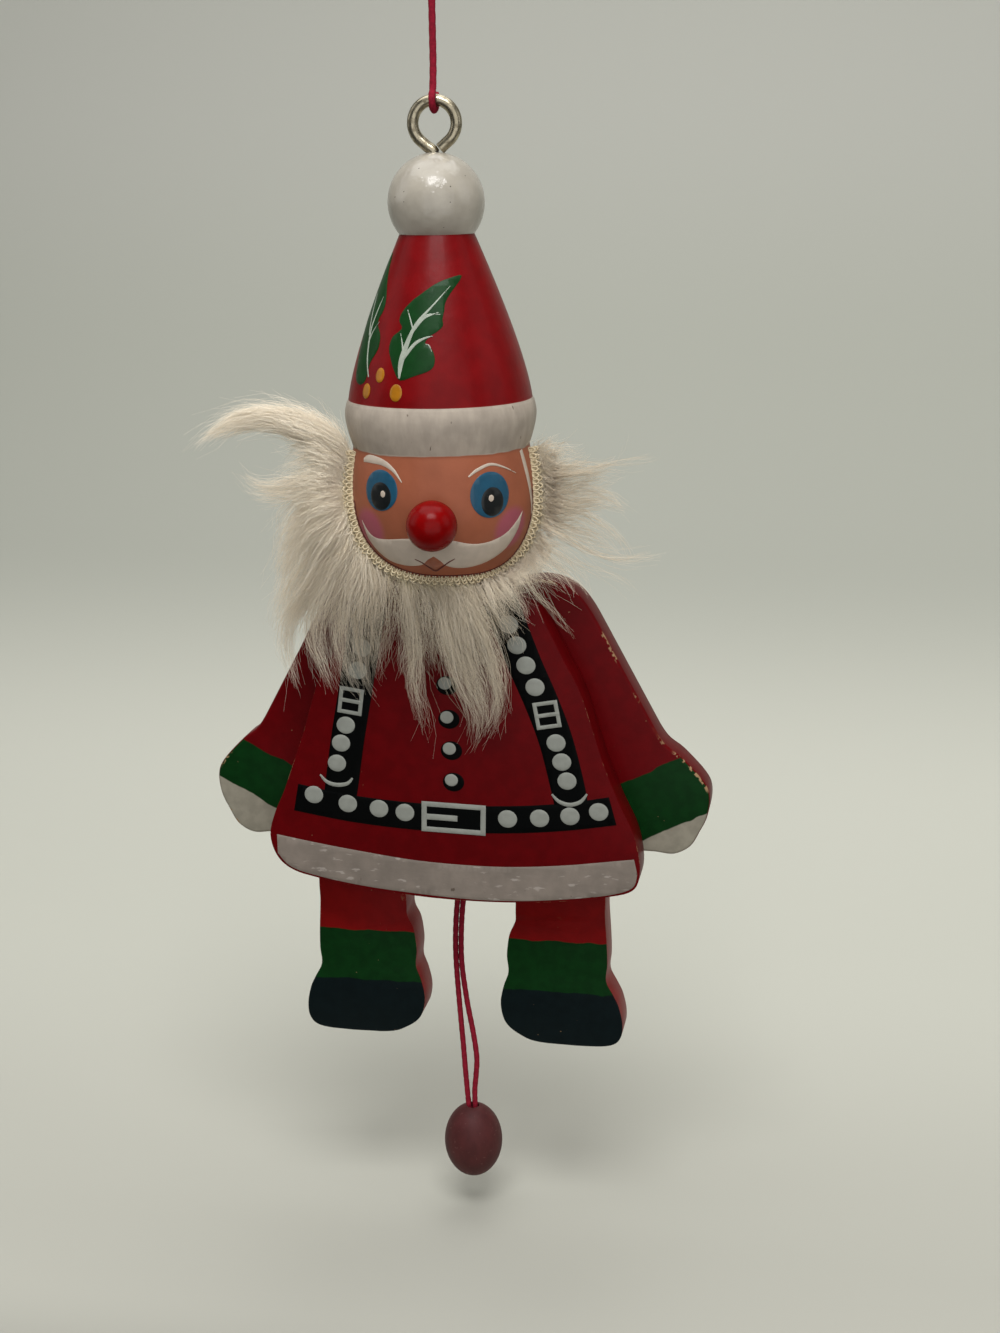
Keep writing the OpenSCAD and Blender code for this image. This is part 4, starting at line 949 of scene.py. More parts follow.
def eased_plate(name, node, material):
    """The sawn plate of a node with its front and back edges sanded round"""
    ease = bpy.context.scene.jack_sizes.edge_round
    ends = (low(node).y, high(node).y)
    shell = bmesh.new()
    shell.from_mesh(frame["nodes"][node].data)
    bmesh.ops.remove_doubles(shell, verts=shell.verts, dist=1e-6)
    bmesh.ops.dissolve_limit(shell, angle_limit=math.radians(2), verts=shell.verts, edges=shell.edges)
    rims = [edge for edge in shell.edges
            if any(all(abs(v.co.y - y) < 1e-6 for v in edge.verts) for y in ends)
            and len(edge.link_faces) == 2 and edge.calc_face_angle() > math.radians(60)
            and (edge.calc_length() > 0.45 * MM or ease < 0.4 * MM)]
    bmesh.ops.bevel(shell, geom=rims, offset=ease, offset_type="OFFSET", segments=3, profile=0.5,
                    affect="EDGES", clamp_overlap=True)
    bmesh.ops.triangulate(shell, faces=[f for f in shell.faces if len(f.verts) > 4])
    return new_object(name, finished(shell, bpy.data.meshes.new(name), math.radians(50)), material)


def make_plates():
    """Coat, arms and legs: sawn plywood with eased edges, painted on their fronts"""
    paints = bpy.context.scene.jack_paints
    coat = plate_paint("coat_enamel", [], (0, 0, 0), (0, 0, 1), paints.red)
    place(eased_plate("coat_board", "coat_plate", coat), "figure", "coat_enamel", "coat_plate")
    joints = {joint["name"]: joint for joint in frame["joints"]}
    lean = math.radians(27)
    for word, side, glove in (("left", -1, 51.0), ("right", 1, 53.6)):
        for limb, zones, axis, red in (
                # The glove white is partly painted shade, darker than the brim's white
                ("arm", [(40.2 * MM, paints.green, 0.75), (glove * MM, paints.glove, 0.82)],
                 (side * math.sin(lean), 0, -math.cos(lean)), paints.red),
                # The legs take the lighter leg red, painted light against the coat's shade over them
                ("leg", [(28.0 * MM, paints.green, 0.75), (40.2 * MM, paints.black, 0.8)],
                 (0, 0, -1), paints.leg_red_painted_light)):
            body = f"{word}_{limb}"
            pivot = tuple(joints[body + "_swing"]["pos_m"])
            paint = plate_paint(body + "_enamel", zones, pivot, axis, red)
            place(eased_plate(body + "_board", body, paint), body, limb + "_enamel", body)


# The braces: each strap, its studs, its buckle's place and tilt in degrees, and the arc below it
BRACES = (
    ([(-15.0, -96.0), (-17.2, -106.0), (-19.6, -118.6), (-21.4, -128.0), (-23.2, -139.0), (-23.9, -143.5)],
     [(-17.5, -107.5), (-18.6, -112.5), (-21.7, -124.9), (-22.9, -129.0), (-24.0, -133.6)],
     (-20.4, -119.4), -8, [(-27.9, -136.4), (-26.4, -138.0), (-24.2, -138.6), (-21.9, -138.2), (-20.6, -136.9)]),
    ([(12.6, -96.0), (14.6, -101.5), (17.8, -110.0), (21.4, -118.5), (24.4, -127.0), (27.0, -138.0), (27.8, -143.5)],
     [(14.4, -101.4), (16.1, -105.8), (18.0, -110.1), (19.9, -114.8), (24.3, -126.9), (25.5, -131.1),
      (26.6, -135.3)],
     (22.4, -120.8), 10, [(23.3, -138.4), (24.9, -140.0), (27.2, -140.6), (29.5, -139.8), (30.9, -138.0)]))
BELT_TOP = [(-33.0, -138.8), (-22.0, -140.7), (-9.0, -141.8), (2.1, -142.0), (14.0, -141.6), (25.0, -140.5),
            (35.6, -138.5)]
BELT_LOW = [(37.2, -144.7), (26.0, -146.6), (14.0, -147.8), (2.0, -148.2), (-9.0, -148.0), (-22.0, -146.9),
            (-34.2, -145.0)]
BELT_STUDS = [(-29.5, -141.1), (-21.9, -142.8), (-14.9, -143.6), (-9.1, -144.2), (13.6, -144.5), (20.6, -144.0),
              (27.2, -143.2), (33.4, -141.9)]
BUTTONS = [(0.4, -114.7), (0.7, -122.2), (1.1, -129.2), (1.4, -136.3)]
HEM_TOP = [(-38.4, -150.8), (-30.0, -152.2), (-21.8, -153.4), (-10.0, -154.9), (-1.6, -155.5), (8.0, -155.7),
           (16.4, -155.4), (26.0, -154.5), (33.7, -153.4), (41.0, -152.3)]
HEM_LOW = [(41.7, -155.6), (40.6, -158.9), (35.2, -160.9), (24.7, -162.5), (15.0, -163.4), (5.0, -163.6),
           (-7.6, -162.9), (-19.4, -161.8), (-29.9, -160.0), (-35.6, -158.2), (-38.4, -155.2)]


def buckle(centre, width, height, bar, tilt, middle, paint):
    """Marks of a buckle's bars, one over the other; middle is a cross bar or a prong from the left"""
    tilt, side, end = math.radians(tilt), (width - bar) / 2, (height - bar) / 2
    bars = [((0, end), width, bar), ((0, -end), width, bar), ((side, 0), bar, height), ((-side, 0), bar, height),
            ((0, 0), width, bar) if middle == "bar" else ((-width * 0.19, 0), width * 0.5, bar * 1.15)]
    return [(frame_outline(*in_mm(turned(centre, [spot], tilt)), w * MM, h * MM, tilt), 2.5 + 0.2 * i, paint)
            for i, (spot, w, h) in enumerate(bars)]


def dots(places, radius, squash, level, paint):
    """Round marks of one size at places in mm"""
    return [(disc(spot, radius * MM, squash), level, paint) for spot in in_mm(places)]


def paint_coat():
    """Belt, braces, studs, buckles, buttons and the white hem band"""
    paints = bpy.context.scene.jack_paints
    black = enamel("belt_black_enamel", "#020303", 0.5, 0.0, shine=0.06)
    grey = enamel("stud_grey_enamel", paints.grey, 0.48, 0.05, darker=0.88)
    belt, hem = (smooth_line(in_mm(top), 5) + smooth_line(in_mm(bottom), 5)
                 for top, bottom in ((BELT_TOP, BELT_LOW), (HEM_TOP, HEM_LOW)))
    marks = [(belt, 1, black)]
    for strap, studs, middle, tilt, arc in BRACES:
        marks.append((stroke(in_mm(strap), [7.4 * MM] * (len(strap) - 1) + [7.0 * MM]), 0.5, black))
        marks += dots(studs, 2.05, 0.94, 2.5, grey) + buckle(middle, 5.4, 6.0, 0.85, tilt, "bar", grey)
        marks.append((stroke(in_mm(arc), [w * MM for w in (0.4, 0.8, 0.9, 0.8, 0.4)]), 2.5, grey))
    marks += dots(BELT_STUDS, 2.1, 0.95, 2.5, grey) + buckle((1.7, -145.0), 14.2, 6.9, 1.15, -1.5, "prong", grey)
    for x, z in BUTTONS:
        marks += dots([(x + 0.45, z - 0.45)], 2.35, 0.9, 0.5, black) + dots([(x, z)], 1.45, 0.95, 2, grey)
    paint_marks("coat_paint", marks, coat_skin, "coat_enamel")
    paint_marks("hem_paint", [(hem, 0.5, hem_paint(paints.hem))], coat_skin, "coat_enamel")


def make_fittings():
    """Finishes of the steel screws and washers, the brass tacks and the bare dowel"""
    # Bare beech: a pale tan with darker grain along it
    wood = Finish("bare_beech", 0.65)
    grain = wood.pattern(0.7 * MM, 4, (1, 1, 8))
    beech = wood.done(wood.laid(to_linear("#d2ab7a"), to_linear("#a97d4c"), grain), grain, 0.04 * MM, 0.5)
    kinds = {"screw": metal("zinc_plated_steel", "#9b988f", 0.38), "washers": metal("washer_steel", "#b9b6ac", 0.32),
             "tack": metal("dull_brass", "#a8853f", 0.36), "dowel": beech}
    for name, node in frame["nodes"].items():
        for word, material in kinds.items():
            if name.endswith(word):
                node.data.materials.clear()
                node.data.materials.append(material)


def make_bead():
    """Pull bead: a turned beech bead stained a matt maroon, with its bore"""
    r, half, rim = (high("pull_bead").x - low("pull_bead").x) / 2, 9.0 * MM, 0.35 * MM
    bore, well, well_top = 1.5 * MM, (KNOT_D + 0.4 * MM) / 2, high("bead_knot").z
    angles = np.linspace(math.acos(bore / r), -math.acos(well / r), 64)
    side = [(r * math.cos(a), BEAD_MID + half * math.sin(a)) for a in angles]
    profile = [(bore, well_top), (bore, side[0][1] - rim), *side, (well, side[-1][1] + rim), (well, well_top),
               (bore, well_top)]
    finish = Finish("maroon_stained_beech", 0.6, **{"Specular IOR Level": 0.25})
    stain = brushed(finish, "#4c1f1f", 0.75, 2.5 * MM, (1, 1, 2))
    colour = finish.laid(stain, to_linear("#7c524e"), (finish.pattern(0.8 * MM, 4), 0.62, 0.75), 0.35)
    maroon = finish.done(colour, finish.pattern(0.7 * MM, 4, (1, 1, 3)), 0.08 * MM, 0.5)
    bead = build("pull_bead_turned", *lathe(profile, 96, (COAT_X, CORD_Y)), maroon)
    place(bead, "pull_string", "bead_lacquer", "pull_bead")


def group(name, sockets):
    """A geometry tree and its inputs: the geometry and sockets given as name: (kind, value)"""
    tree = bpy.data.node_groups.new(name, "GeometryNodeTree")
    for way in ("INPUT", "OUTPUT"):
        tree.interface.new_socket("Geometry", in_out=way, socket_type="NodeSocketGeometry")
    for label, (kind, value) in sockets.items():
        socket = tree.interface.new_socket(label, in_out="INPUT", socket_type="NodeSocket" + kind)
        if value is not None:
            socket.default_value = value
    return tree, tree.nodes.new("NodeGroupInput").outputs


def grown(name, source, tree, values):
    """The mesh that a geometry tree makes of a source object; values go by the sockets' names"""
    modifier = source.modifiers.new(tree.name, "NODES")
    modifier.node_group = tree
    for item in tree.interface.items_tree:
        if item.item_type == "SOCKET" and item.in_out == "INPUT" and item.name in values:
            modifier[item.identifier] = values[item.name]
    depsgraph = bpy.context.evaluated_depsgraph_get()
    mesh = bpy.data.meshes.new_from_object(source.evaluated_get(depsgraph), depsgraph=depsgraph)
    mesh.name = name
    source.modifiers.remove(modifier)
    discard(source)
    return new_object(name, mesh, *([] if len(mesh.materials) else [values["Material"]]))


def hair_tree():
    """Turns lines with a radius at each point into tapering hairs of three sides"""
    tree, given = group("hair_from_lines", {
        "Sides": ("Int", 3), "Frizz": ("Float", 0.1 * MM), "Seed": ("Int", 3), "Material": ("Material", None)})
    radius, along = (add(tree, "GeometryNodeInputNamedAttribute", {"Name": name}, data_type="FLOAT")
                     for name in ("radius_m", "along"))
    spot = add(tree, "GeometryNodeInputPosition")
    curl = add(tree, "ShaderNodeTexNoise", {
        "Vector": spot, "W": given["Seed"], "Scale": 1 / (2.6 * MM), "Detail": 2.5}, noise_dimensions="4D")
    centred = add(tree, "ShaderNodeVectorMath", {0: curl.outputs["Color"], 1: (0.5, 0.5, 0.5)}, operation="SUBTRACT")
    size = add(tree, "ShaderNodeMath", {0: along, 1: given["Frizz"]}, operation="MULTIPLY")
    moved = add(tree, "ShaderNodeVectorMath", {0: centred, "Scale": size}, operation="SCALE")
    shifted = add(tree, "GeometryNodeSetPosition", {"Geometry": given["Geometry"], "Offset": moved})
    curves = add(tree, "GeometryNodeMeshToCurve", {"Mesh": shifted})
    sized = add(tree, "GeometryNodeSetCurveRadius", {"Curve": curves, "Radius": radius})
    ring = add(tree, "GeometryNodeCurvePrimitiveCircle", {"Resolution": given["Sides"], "Radius": 1.0},
               mode="RADIUS")
    body = add(tree, "GeometryNodeCurveToMesh", {"Curve": sized, "Profile Curve": ring, "Fill Caps": True})
    if "Scale" in body.inputs:
        tree.links.new(add(tree, "GeometryNodeInputRadius").outputs[0], body.inputs["Scale"])
    dressed = add(tree, "GeometryNodeSetMaterial", {"Geometry": body, "Material": given["Material"]})
    add(tree, "NodeGroupOutput", {"Geometry": dressed})
    return tree


def fur_finish():
    """Cream acrylic pile: soft near-white hairs, each a little warmer or greyer than the next, and yellower at the
    root, where the backing shows. The locks' lightness also carries painted light and shade: the upper left locks
    are lightest, the chin's darkest"""
    finish = Finish("cream_pile_fur", 0.8, **{
        "Sheen Weight": 0.2, "Sheen Roughness": 0.5, "Specular IOR Level": 0.25})
    tone_and_shade, along = (finish.node("Attribute", {}, 2, attribute_name=name) for name in ("tone_and_shade", "along"))
    hair = finish.laid(to_linear("#fdf2dd"), to_linear("#a08b69"), tone_and_shade)
    return finish.done(finish.laid(to_linear("#e6d8b6"), hair, (along, 0.0, 0.2)))


def clear_of_wood(p, room=0.25 * MM):
    """Places (x, y, z) in rows, moved forwards until they are clear of the head and of the coat's front"""
    x, y, z = p[..., 0], p[..., 1], p[..., 2]
    neck, shoulder_slope, behind = 13 * MM, 0.62, 4 * MM
    r = np.where(z > COAT_TOP, head_r(z), 0) + room
    front = np.where((z > COAT_TOP) & (np.abs(x) < r) & (y < behind), np.sqrt(np.maximum(0, r * r - x * x)), 0)
    over_coat = (z < COAT_TOP + 0.5 * MM) & (np.abs(x - COAT_X) < neck + (COAT_TOP - z) * shoulder_slope)
    front = np.where(over_coat, np.maximum(front, room - COAT_FRONT), front)
    return np.stack([x, np.where(front > 0, np.minimum(y, -front), y), z], axis=-1)


def lock_hairs(rng, start, width, count, places, reach, loose):
    """Lines of the hairs of one lock: they root along the strip, gather in strands and thin out to its tip"""
    # The lock's middle line, with its directions ahead, sideways and into the depth
    guide = np.array(even([strip_point(start, 0.6, STRIP_T)] + [Vector(q) * MM for q in places], GUIDE_STEP))
    ahead = np.gradient(guide, axis=0)
    ahead /= np.linalg.norm(ahead, axis=1)[:, None]
    side = np.cross(ahead, (0, 1, 0))
    side /= np.linalg.norm(side, axis=1)[:, None]
    deep = np.cross(side, ahead)
    # Hairs gather in strands: where each hair lies across the lock, and how far along it ends
    strands = max(3, count // STRAND_HAIRS)
    strand = rng.integers(strands, size=count)
    middle = rng.normal(0, 0.58, (strands, 2))
    middle /= np.maximum(1, np.linalg.norm(middle, axis=1))[:, None]
    offset = middle[strand] + rng.normal(0, 0.3, (count, 2)) * loose
    share = rng.uniform(*reach, strands)[strand] * rng.uniform(0.82, 1.0, count)
    s = np.linspace(0, 1, HAIR_STEPS + 1)
    u = share[:, None] * s
    at = u * (len(guide) - 1)
    before = np.minimum(at.astype(int), len(guide) - 2)
    f = (at - before)[..., None]

    def along(table):
        return table[before] * (1 - f) + table[before + 1] * f

    # Hairs keep to the lock's width, which swells from the strip and closes to the tip
    swell = np.interp(u, (0, 0.2, 0.5, 0.8, 1), (0.7, 1, 0.9, 0.62, 0.22))[..., None]
    swell = swell * width * MM * (0.6 + 0.4 * loose)
    line = along(guide) + along(side) * offset[:, None, :1] * swell + along(deep) * offset[:, None, 1:] * swell * 0.8
    # Each starts from its own root on the strip and joins the lock within its first stretch
    spread = np.clip(start + rng.normal(0, 0.007 * width, count), 0, 1)
    roots = np.array([tuple(strip_point(t, w, STRIP_T + 0.03 * MM))
                      for t, w in zip(spread, rng.uniform(0.25, 0.98, count))])
    fade = np.clip(1 - u / np.maximum(0.3, 5 * MM / (GUIDE_STEP * len(guide))), 0, 1)[..., None] ** 1.6
    line = line * (1 - fade) + (roots[:, None] + (along(guide) - guide[0]) * 0.6) * fade
    # Waves that a strand shares, finer ones of each hair's own, and one hair in five that strays
    phase = rng.uniform(0, 2 * math.pi, (strands, 2))[strand]
    turns = rng.uniform(0.7, 1.6, strands)[strand]
    wave = np.sin(2 * math.pi * turns[:, None] * s + phase[:, :1]) * 0.5 * MM * s * loose
    fine, other = (np.sin(2 * math.pi * (rng.uniform(1, 3.4, count)[:, None] * s + rng.random((count, 1))))
                   * rng.uniform(0.15, 0.7, (count, 1)) * MM * s ** 0.8 for _ in range(2))
    line += along(side) * (wave + fine)[..., None] + along(deep) * (wave * 0.6 + other)[..., None]
    stray = rng.normal(0, 1, (count, 1, 3)) * (rng.random((count, 1, 1)) < 0.2)
    line += (rng.normal(0, 0.35, (count, 1, 3)) * loose + stray * 1.7) * MM * s[None, :, None] ** 2
    # Roots stay where they are; hairs that would lie over the bare face are left out
    line[:, 0] = roots
    line = clear_of_wood(line)
    angle, z = np.arctan2(line[..., 0], -line[..., 1]), line[..., 2]
    over = np.hypot(line[..., 0], line[..., 1]) < head_r(z) + 5 * MM
    left, right = (np.interp(z, *edge) for edge in FACE_EDGES)
    on_face = over & (z < FACE_TOP) & (angle > left) & (angle < right)
    return line[~on_face.any(axis=1)], s


def make_fur(name, rng, material, tree, curl, locks):
    """One piece of fur: long hairs along each lock and a shorter, looser undercoat; curl is a share of frizz"""
    beard = bpy.context.scene.jack_beard
    lines, tones_and_shades = [], []
    for start, width, count, tone_and_shade, places in locks:
        # Locks at the right temple reach further past their tips
        far = (0.5, 1.12) if start > 0.83 else (0.38, 1.0)
        for share, reach, loose in ((1.0, far, 1.0), (beard.undercoat, (0.15, 0.5), 1.7)):
            hairs = max(8, int(count * share * beard.density))
            line, s = lock_hairs(rng, start, width, hairs, places, reach, loose)
            lines.append(line)
            # The lock's tone, with its painted light and shade, and each hair's own random spread about it
            tones_and_shades.append(np.clip(tone_and_shade * 0.5 + rng.normal(0.05, 0.13, len(line)), 0, 1))
    lines, tones_and_shades = np.concatenate(lines), np.concatenate(tones_and_shades)
    count, steps = lines.shape[:2]
    thick = beard.hair_d / 2 * rng.uniform(0.7, 1.15, count)[:, None] * (1 - 0.7 * s ** 1.5)
    mesh = bpy.data.meshes.new(name + "_lines")
    index = np.arange(count * steps).reshape(count, steps)
    edges = np.stack([index[:, :-1], index[:, 1:]], axis=-1).reshape(-1, 2)
    mesh.from_pydata(lines.reshape(-1, 3).tolist(), edges.tolist(), [])
    for label, values in (("radius_m", thick), ("along", np.tile(s, (count, 1))),
                          ("tone_and_shade", np.repeat(tones_and_shades[:, None], steps, axis=1))):
        mesh.attributes.new(label, "FLOAT", "POINT").data.foreach_set("value", values.ravel().astype(np.float32))
    piece = grown(name, new_object(name + "_lines", mesh), tree, {
        "Sides": 3, "Frizz": beard.frizz * curl, "Seed": beard.seed, "Material": material})
    return place(piece, "figure", "pile_fur", "beard_fur")


def make_beard():
    """Fur: locks of long pile from the left temple round the chin to the right temple"""
    rng = np.random.default_rng(bpy.context.scene.jack_beard.seed)
    material, tree = fur_finish(), hair_tree()
    for name, lo, hi, curl in (("fur_left_temple", 0.0, 0.065, 1.0), ("fur_left_cheek", 0.065, 0.145, 1.0),
                               ("fur_left_jaw", 0.145, 0.25, 1.5), ("fur_chin_left", 0.25, 0.46, 1.7),
                               ("fur_chin_right", 0.46, 0.63, 1.7), ("fur_right_jaw", 0.63, 0.86, 1.2),
                               ("fur_right_temple", 0.86, 1.01, 1.0)):
        make_fur(name, rng, material, tree, curl, [lock for lock in FUR_LOCKS if lo <= lock[0] < hi])


def loop_tree():
    """Repeats a small knitted loop along a line at an even spacing"""
    tree, given = group("loops_along_edge", {
        "Spacing": ("Float", 1.3 * MM), "Yarn": ("Float", 0.5 * MM), "Length": ("Float", 1.5 * MM),
        "Width": ("Float", 1.0 * MM), "Seed": ("Int", 5), "Material": ("Material", None)})
    curve = add(tree, "GeometryNodeMeshToCurve", {"Mesh": given["Geometry"]})
    places = add(tree, "GeometryNodeCurveToPoints", {"Curve": curve, "Length": given["Spacing"]}, mode="LENGTH")
    long, wide, thick = (add(tree, "ShaderNodeMath", {0: given[name], 1: 2.0}, operation="DIVIDE")
                         for name in ("Length", "Width", "Yarn"))
    arc = add(tree, "GeometryNodeCurvePrimitiveCircle", {"Resolution": 12, "Radius": 1.0}, mode="RADIUS")
    oval = add(tree, "ShaderNodeCombineXYZ", {"X": wide, "Y": long, "Z": long})
    shaped = add(tree, "GeometryNodeTransform", {
        "Geometry": arc, "Scale": oval, "Rotation": (0, math.pi / 2, 0)})
    ring = add(tree, "GeometryNodeCurvePrimitiveCircle", {"Resolution": 6, "Radius": thick}, mode="RADIUS")
    yarn = add(tree, "GeometryNodeCurveToMesh", {"Curve": shaped, "Profile Curve": ring})
    turn = add(tree, "FunctionNodeRandomValue", {"Seed": given["Seed"], 2: -0.35, 3: 0.35}, data_type="FLOAT")
    spin = add(tree, "ShaderNodeCombineXYZ", {"X": turn.outputs[1]})
    rotated = add(tree, "FunctionNodeRotateRotation", {
        "Rotation": places.outputs["Rotation"], "Rotate By": spin}, rotation_space="LOCAL")
    copies = add(tree, "GeometryNodeInstanceOnPoints", {"Points": places, "Instance": yarn, "Rotation": rotated})
    whole = add(tree, "GeometryNodeRealizeInstances", {"Geometry": copies})
    dressed = add(tree, "GeometryNodeSetMaterial", {"Geometry": whole, "Material": given["Material"]})
    add(tree, "NodeGroupOutput", {"Geometry": dressed})
    return tree


def make_strip():
    """Knitted strip that carries the fur, with its rows of loops along the face"""
    # Knitted cotton, undyed: matt and ribbed, with painted shade that darkens it a little along the rib pattern
    finish = Finish("knitted_cotton", 0.9, **{"Sheen Weight": 0.2})
    ribs = finish.pattern(0.6 * MM, 3)
    cotton = finish.done(finish.laid(to_linear("#e6d8b8"), to_linear("#bba983"), ribs), ribs, 0.2 * MM, 0.8)
    rows, cols = 140, 7
    front = np.interp(range(cols), (0, 1, 2), (0.3 * STRIP_T, 0.75 * STRIP_T, STRIP_T))
    points = [strip_point(i / (rows - 1), j / (cols - 1), lifts[j]) for lifts in (front, [0.05 * MM] * cols)
              for i in range(rows) for j in range(cols)]
    back = rows * cols
    faces = []
    for i in range(rows):
        for j in range(cols):
            a = i * cols + j
            if i < rows - 1 and j < cols - 1:
                faces += [(a, a + 1, a + cols + 1, a + cols),
                          (back + a, back + a + cols, back + a + cols + 1, back + a + 1)]
            if i < rows - 1 and j in (0, cols - 1):
                faces.append((a, a + cols, back + a + cols, back + a))
            if i in (0, rows - 1) and j < cols - 1:
                faces.append((a, a + 1, back + a + 1, back + a))
    place(build("knitted_strip", points, faces, cotton), "figure", "knit_backing", "beard_strip")
    tree = loop_tree()
    for name, w, spacing, yarn in (("edge_loops", 0.02, 1.3, 0.32), ("inner_loops", 0.22, 1.5, 0.36)):
        line = [strip_point(i / 199, w, STRIP_T * (0.6 + 2 * w)) for i in range(200)]
        mesh = bpy.data.meshes.new(name + "_line")
        mesh.from_pydata(line, [(i, i + 1) for i in range(199)], [])
        loops = grown(name, new_object(name + "_line", mesh), tree, {
            "Spacing": spacing * MM, "Yarn": yarn * MM, "Length": 1.5 * MM, "Width": 0.95 * MM, "Seed": 5,
            "Material": cotton})
        place(loops, "figure", "knit_backing")
    # A thin dark red line along the face's edge, just inside the strip: painted shadow where the strip meets the
    # face
    red = enamel("jaw_shadow_paint", "#4a1210", 0.5, 0.0)
    line = [strip_point(i / 159, -0.17, 0.02 * MM) for i in range(20, 150)]
    place(build("jaw_shadow_line", *sweep(line, ring_outline(0.13 * MM, 8)), red), "figure", "head_enamel")


def make_stage():
    """Camera at the photograph's place, the pale sweep and the soft lights"""
    scene, stage = bpy.context.scene, bpy.context.scene.jack_stage
    camera = bpy.data.cameras.new("camera")
    camera.sensor_fit, camera.sensor_height = "VERTICAL", 24.0
    camera.lens = stage.focal_px / PHOTO_H * camera.sensor_height
    camera.clip_start, camera.clip_end = 0.01, 20
    scene.camera = new_object("camera", camera)
    scene.camera.matrix_world = Matrix.Translation(Vector(CAMERA_PLACE)) @ Matrix(CAMERA_AXES).transposed().to_4x4()
    floor_z = low("pull_bead").z - stage.floor_gap
    front, wall_y, bend, half, top = -0.22, 0.52, 0.34, 1.6, 1.6
    section = [(front, floor_z - 0.01), (front + 0.01, floor_z), (0, floor_z), (wall_y - bend, floor_z)]
    section += [(wall_y - bend + bend * math.sin(a), floor_z + bend - bend * math.cos(a))
                for a in np.linspace(0.06, math.pi / 2, 24)]
    section += [(wall_y, floor_z + bend + 0.4), (wall_y, top)]
    mesh = bpy.data.meshes.new("sweep")
    mesh.from_pydata([(x, y, z) for y, z in section for x in (-half, half)], [],
                     [(2 * i, 2 * i + 1, 2 * i + 3, 2 * i + 2) for i in range(len(section) - 1)])
    smooth(mesh)
    # Matt paper, with painted light and shade: darker low on the wall, paler on the floor, greyer towards the front,
    # and painted dark at its front edge as the shade of the dim room in front
    finish = Finish("paper_sweep", 0.9, **{"Specular IOR Level": 0.1})
    y, z = (finish.node("SeparateXYZ", {0: finish.coords["Object"]}, axis) for axis in (1, 2))
    colour = to_linear("#b0b0a8")
    # The last colour is the dark front strip: painted shade of the dim room in front
    for code, way, start, end in (("#a9aaa0", z, -0.1, 0.03), ("#c5c5ba", z, floor_z + 0.01, floor_z + 0.08),
                                  ("#b1b0a6", y, -0.03, 0.2), ("#3c3c39", y, -0.12, -0.035)):
        colour = finish.laid(to_linear(code), colour, (way, start, end))
    new_object("sweep", mesh, finish.done(colour))
    scene.world = bpy.data.worlds.new("studio")
    scene.world.use_nodes = True
    sky = scene.world.node_tree.nodes["Background"].inputs
    sky["Color"].default_value, sky["Strength"].default_value = to_linear("#e9ece6"), 0.1
    for name, spot, size, power, aim in (
            ("top_window", (-0.05, 0.05, 0.5), (0.8, 0.6), 3.6, (0, 0, -0.1)),
            ("front_top", (0.1, -0.5, 0.66), (0.5, 0.3), 5.8, (0, 0, -0.05)),
            ("low_front", (0.2, -0.65, -0.03), (0.9, 0.7), 2.2, (0, 0, -0.12)),
            ("left_fill", (-0.8, -0.1, 0.25), (0.5, 0.6), 0.8, (0, 0, -0.1)),
            ("right_fill", (0.85, -0.05, 0.25), (0.5, 0.6), 0.8, (0, 0, -0.1))):
        light = bpy.data.lights.new(name, "AREA")
        light.shape, light.energy = "RECTANGLE", power
        light.size, light.size_y = size
        lamp = new_object(name, light)
        lamp.location = spot
        lamp.rotation_euler = (Vector(aim) - Vector(spot)).to_track_quat("-Z", "Y").to_euler()
    scene.view_settings.view_transform = "Standard"


class JACK_OT_stage(bpy.types.Operator):
    """Place the camera, the pale sweep and the lights"""
    bl_idname = "jack.stage"
    bl_label = "Stage"

    def execute(self, context):
        make_stage()
        return {"FINISHED"}


class JACK_OT_cords(bpy.types.Operator):
    """Twist the pull cord, the cross cords and the hanging cord, and tie their knots"""
    bl_idname = "jack.cords"
    bl_label = "Cords and knots"

    def execute(self, context):
        make_cords()
        return {"FINISHED"}


class JACK_OT_eye(bpy.types.Operator):
    """Bend the screw eye"""
    bl_idname = "jack.eye"
    bl_label = "Screw eye"

    def execute(self, context):
        make_eye()
        return {"FINISHED"}


class JACK_OT_head(bpy.types.Operator):
    """Turn the ball, the head and the nose"""
    bl_idname = "jack.head"
    bl_label = "Head, ball and nose"

    def execute(self, context):
        make_head()
        return {"FINISHED"}


class JACK_OT_head_paint(bpy.types.Operator):
    """Paint the face and the holly on the hat"""
    bl_idname = "jack.head_paint"
    bl_label = "Face and hat paint"

    def execute(self, context):
        paint_face()
        paint_hat()
        return {"FINISHED"}


class JACK_OT_plates(bpy.types.Operator):
    """Saw and ease the coat, arm and leg plates"""
    bl_idname = "jack.plates"
    bl_label = "Coat, arms and legs"

    def execute(self, context):
        make_plates()
        return {"FINISHED"}


class JACK_OT_coat_paint(bpy.types.Operator):
    """Paint the belt, braces, buttons and hem"""
    bl_idname = "jack.coat_paint"
    bl_label = "Coat paint"

    def execute(self, context):
        paint_coat()
        return {"FINISHED"}


class JACK_OT_fittings(bpy.types.Operator):
    """Finish the screws, washers, tacks and dowel"""
    bl_idname = "jack.fittings"
    bl_label = "Fittings"

    def execute(self, context):
        make_fittings()
        return {"FINISHED"}


class JACK_OT_bead(bpy.types.Operator):
    """Turn the pull bead"""
    bl_idname = "jack.bead"
    bl_label = "Pull bead"

    def execute(self, context):
        make_bead()
        return {"FINISHED"}


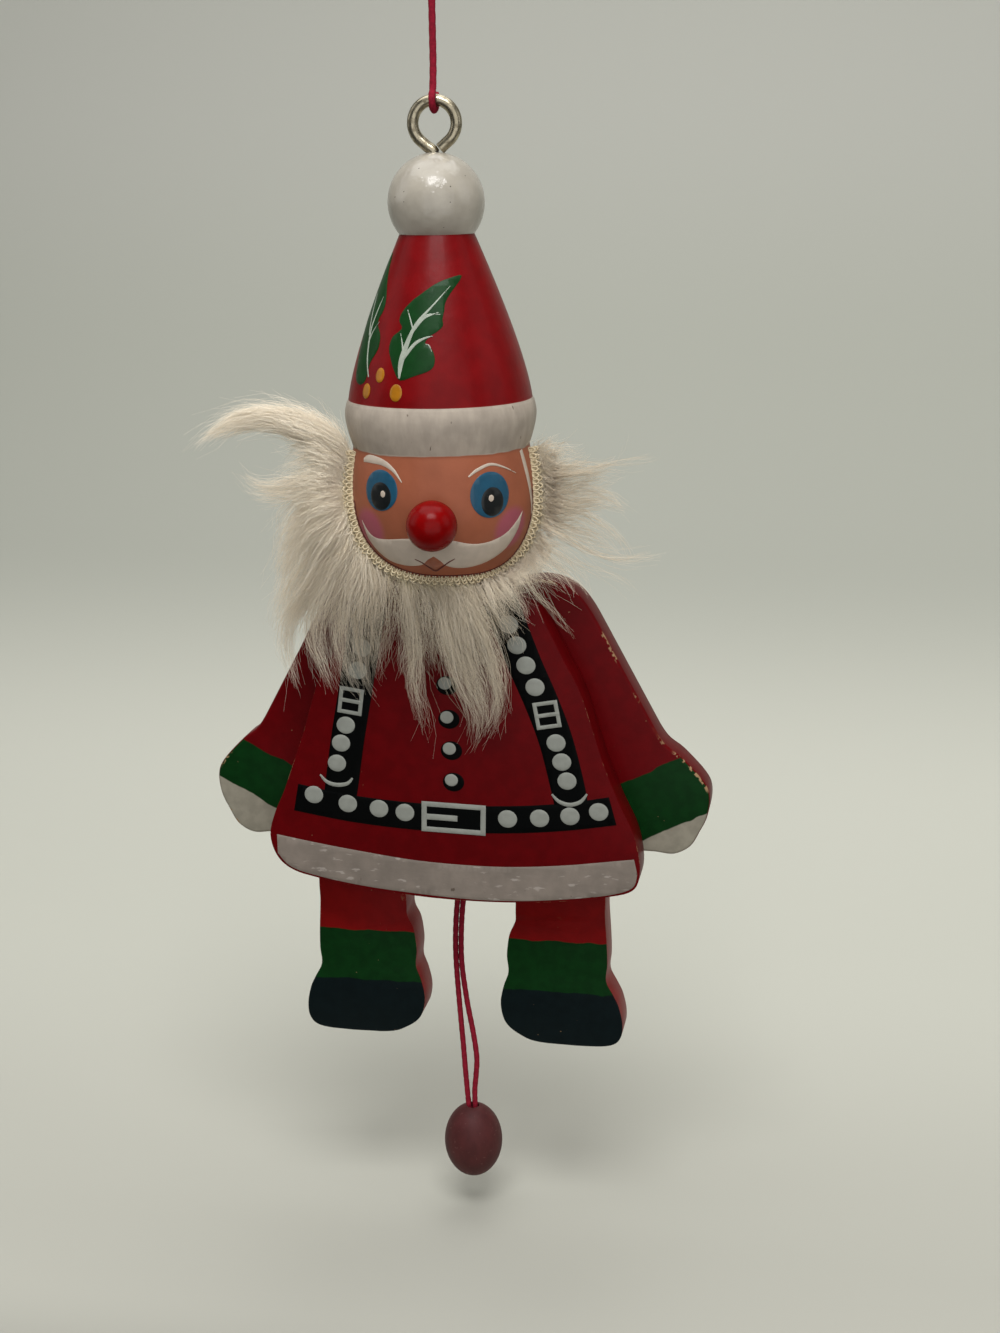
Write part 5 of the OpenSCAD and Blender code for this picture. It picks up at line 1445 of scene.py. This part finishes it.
class JACK_OT_strip(bpy.types.Operator):
    """Knit the strip that carries the fur"""
    bl_idname = "jack.strip"
    bl_label = "Knitted strip"

    def execute(self, context):
        make_strip()
        return {"FINISHED"}


class JACK_OT_beard(bpy.types.Operator):
    """Grow the fur beard"""
    bl_idname = "jack.beard"
    bl_label = "Fur beard"

    def execute(self, context):
        make_beard()
        return {"FINISHED"}


OPERATORS = (JACK_OT_stage, JACK_OT_cords, JACK_OT_eye, JACK_OT_head, JACK_OT_head_paint, JACK_OT_plates,
             JACK_OT_coat_paint, JACK_OT_fittings, JACK_OT_bead, JACK_OT_strip, JACK_OT_beard)
GROUPS = {"jack_sizes": JackSizes, "jack_beard": BeardSettings, "jack_paints": PaintColours,
          "jack_stage": StageSettings}


class JACK_PT_workshop(bpy.types.Panel):
    """The pieces of the jumping jack, in making order"""
    bl_idname = "JACK_PT_workshop"
    bl_label = "Jumping Jack"
    bl_space_type = "VIEW_3D"
    bl_region_type = "UI"
    bl_category = "Jumping Jack"

    def draw(self, context):
        for operator in OPERATORS:
            self.layout.operator(operator.bl_idname)
        for name in GROUPS:
            values = getattr(context.scene, name)
            for prop in values.__annotations__:
                self.layout.prop(values, prop)


def register():
    for cls in (*GROUPS.values(), *OPERATORS, JACK_PT_workshop):
        bpy.utils.register_class(cls)
    for name, cls in GROUPS.items():
        setattr(bpy.types.Scene, name, bpy.props.PointerProperty(type=cls))


def unregister():
    for name in GROUPS:
        delattr(bpy.types.Scene, name)
    for cls in (JACK_PT_workshop, *reversed(OPERATORS), *reversed(GROUPS.values())):
        bpy.utils.unregister_class(cls)


def main():
    register()
    bpy.ops.jack.stage()
    bpy.ops.jack.bead()
    bpy.ops.jack.cords()
    bpy.ops.jack.eye()
    bpy.ops.jack.head()
    bpy.ops.jack.head_paint()
    bpy.ops.jack.plates()
    bpy.ops.jack.coat_paint()
    bpy.ops.jack.fittings()
    bpy.ops.jack.strip()
    bpy.ops.jack.beard()


if __name__ == "__main__":
    main()
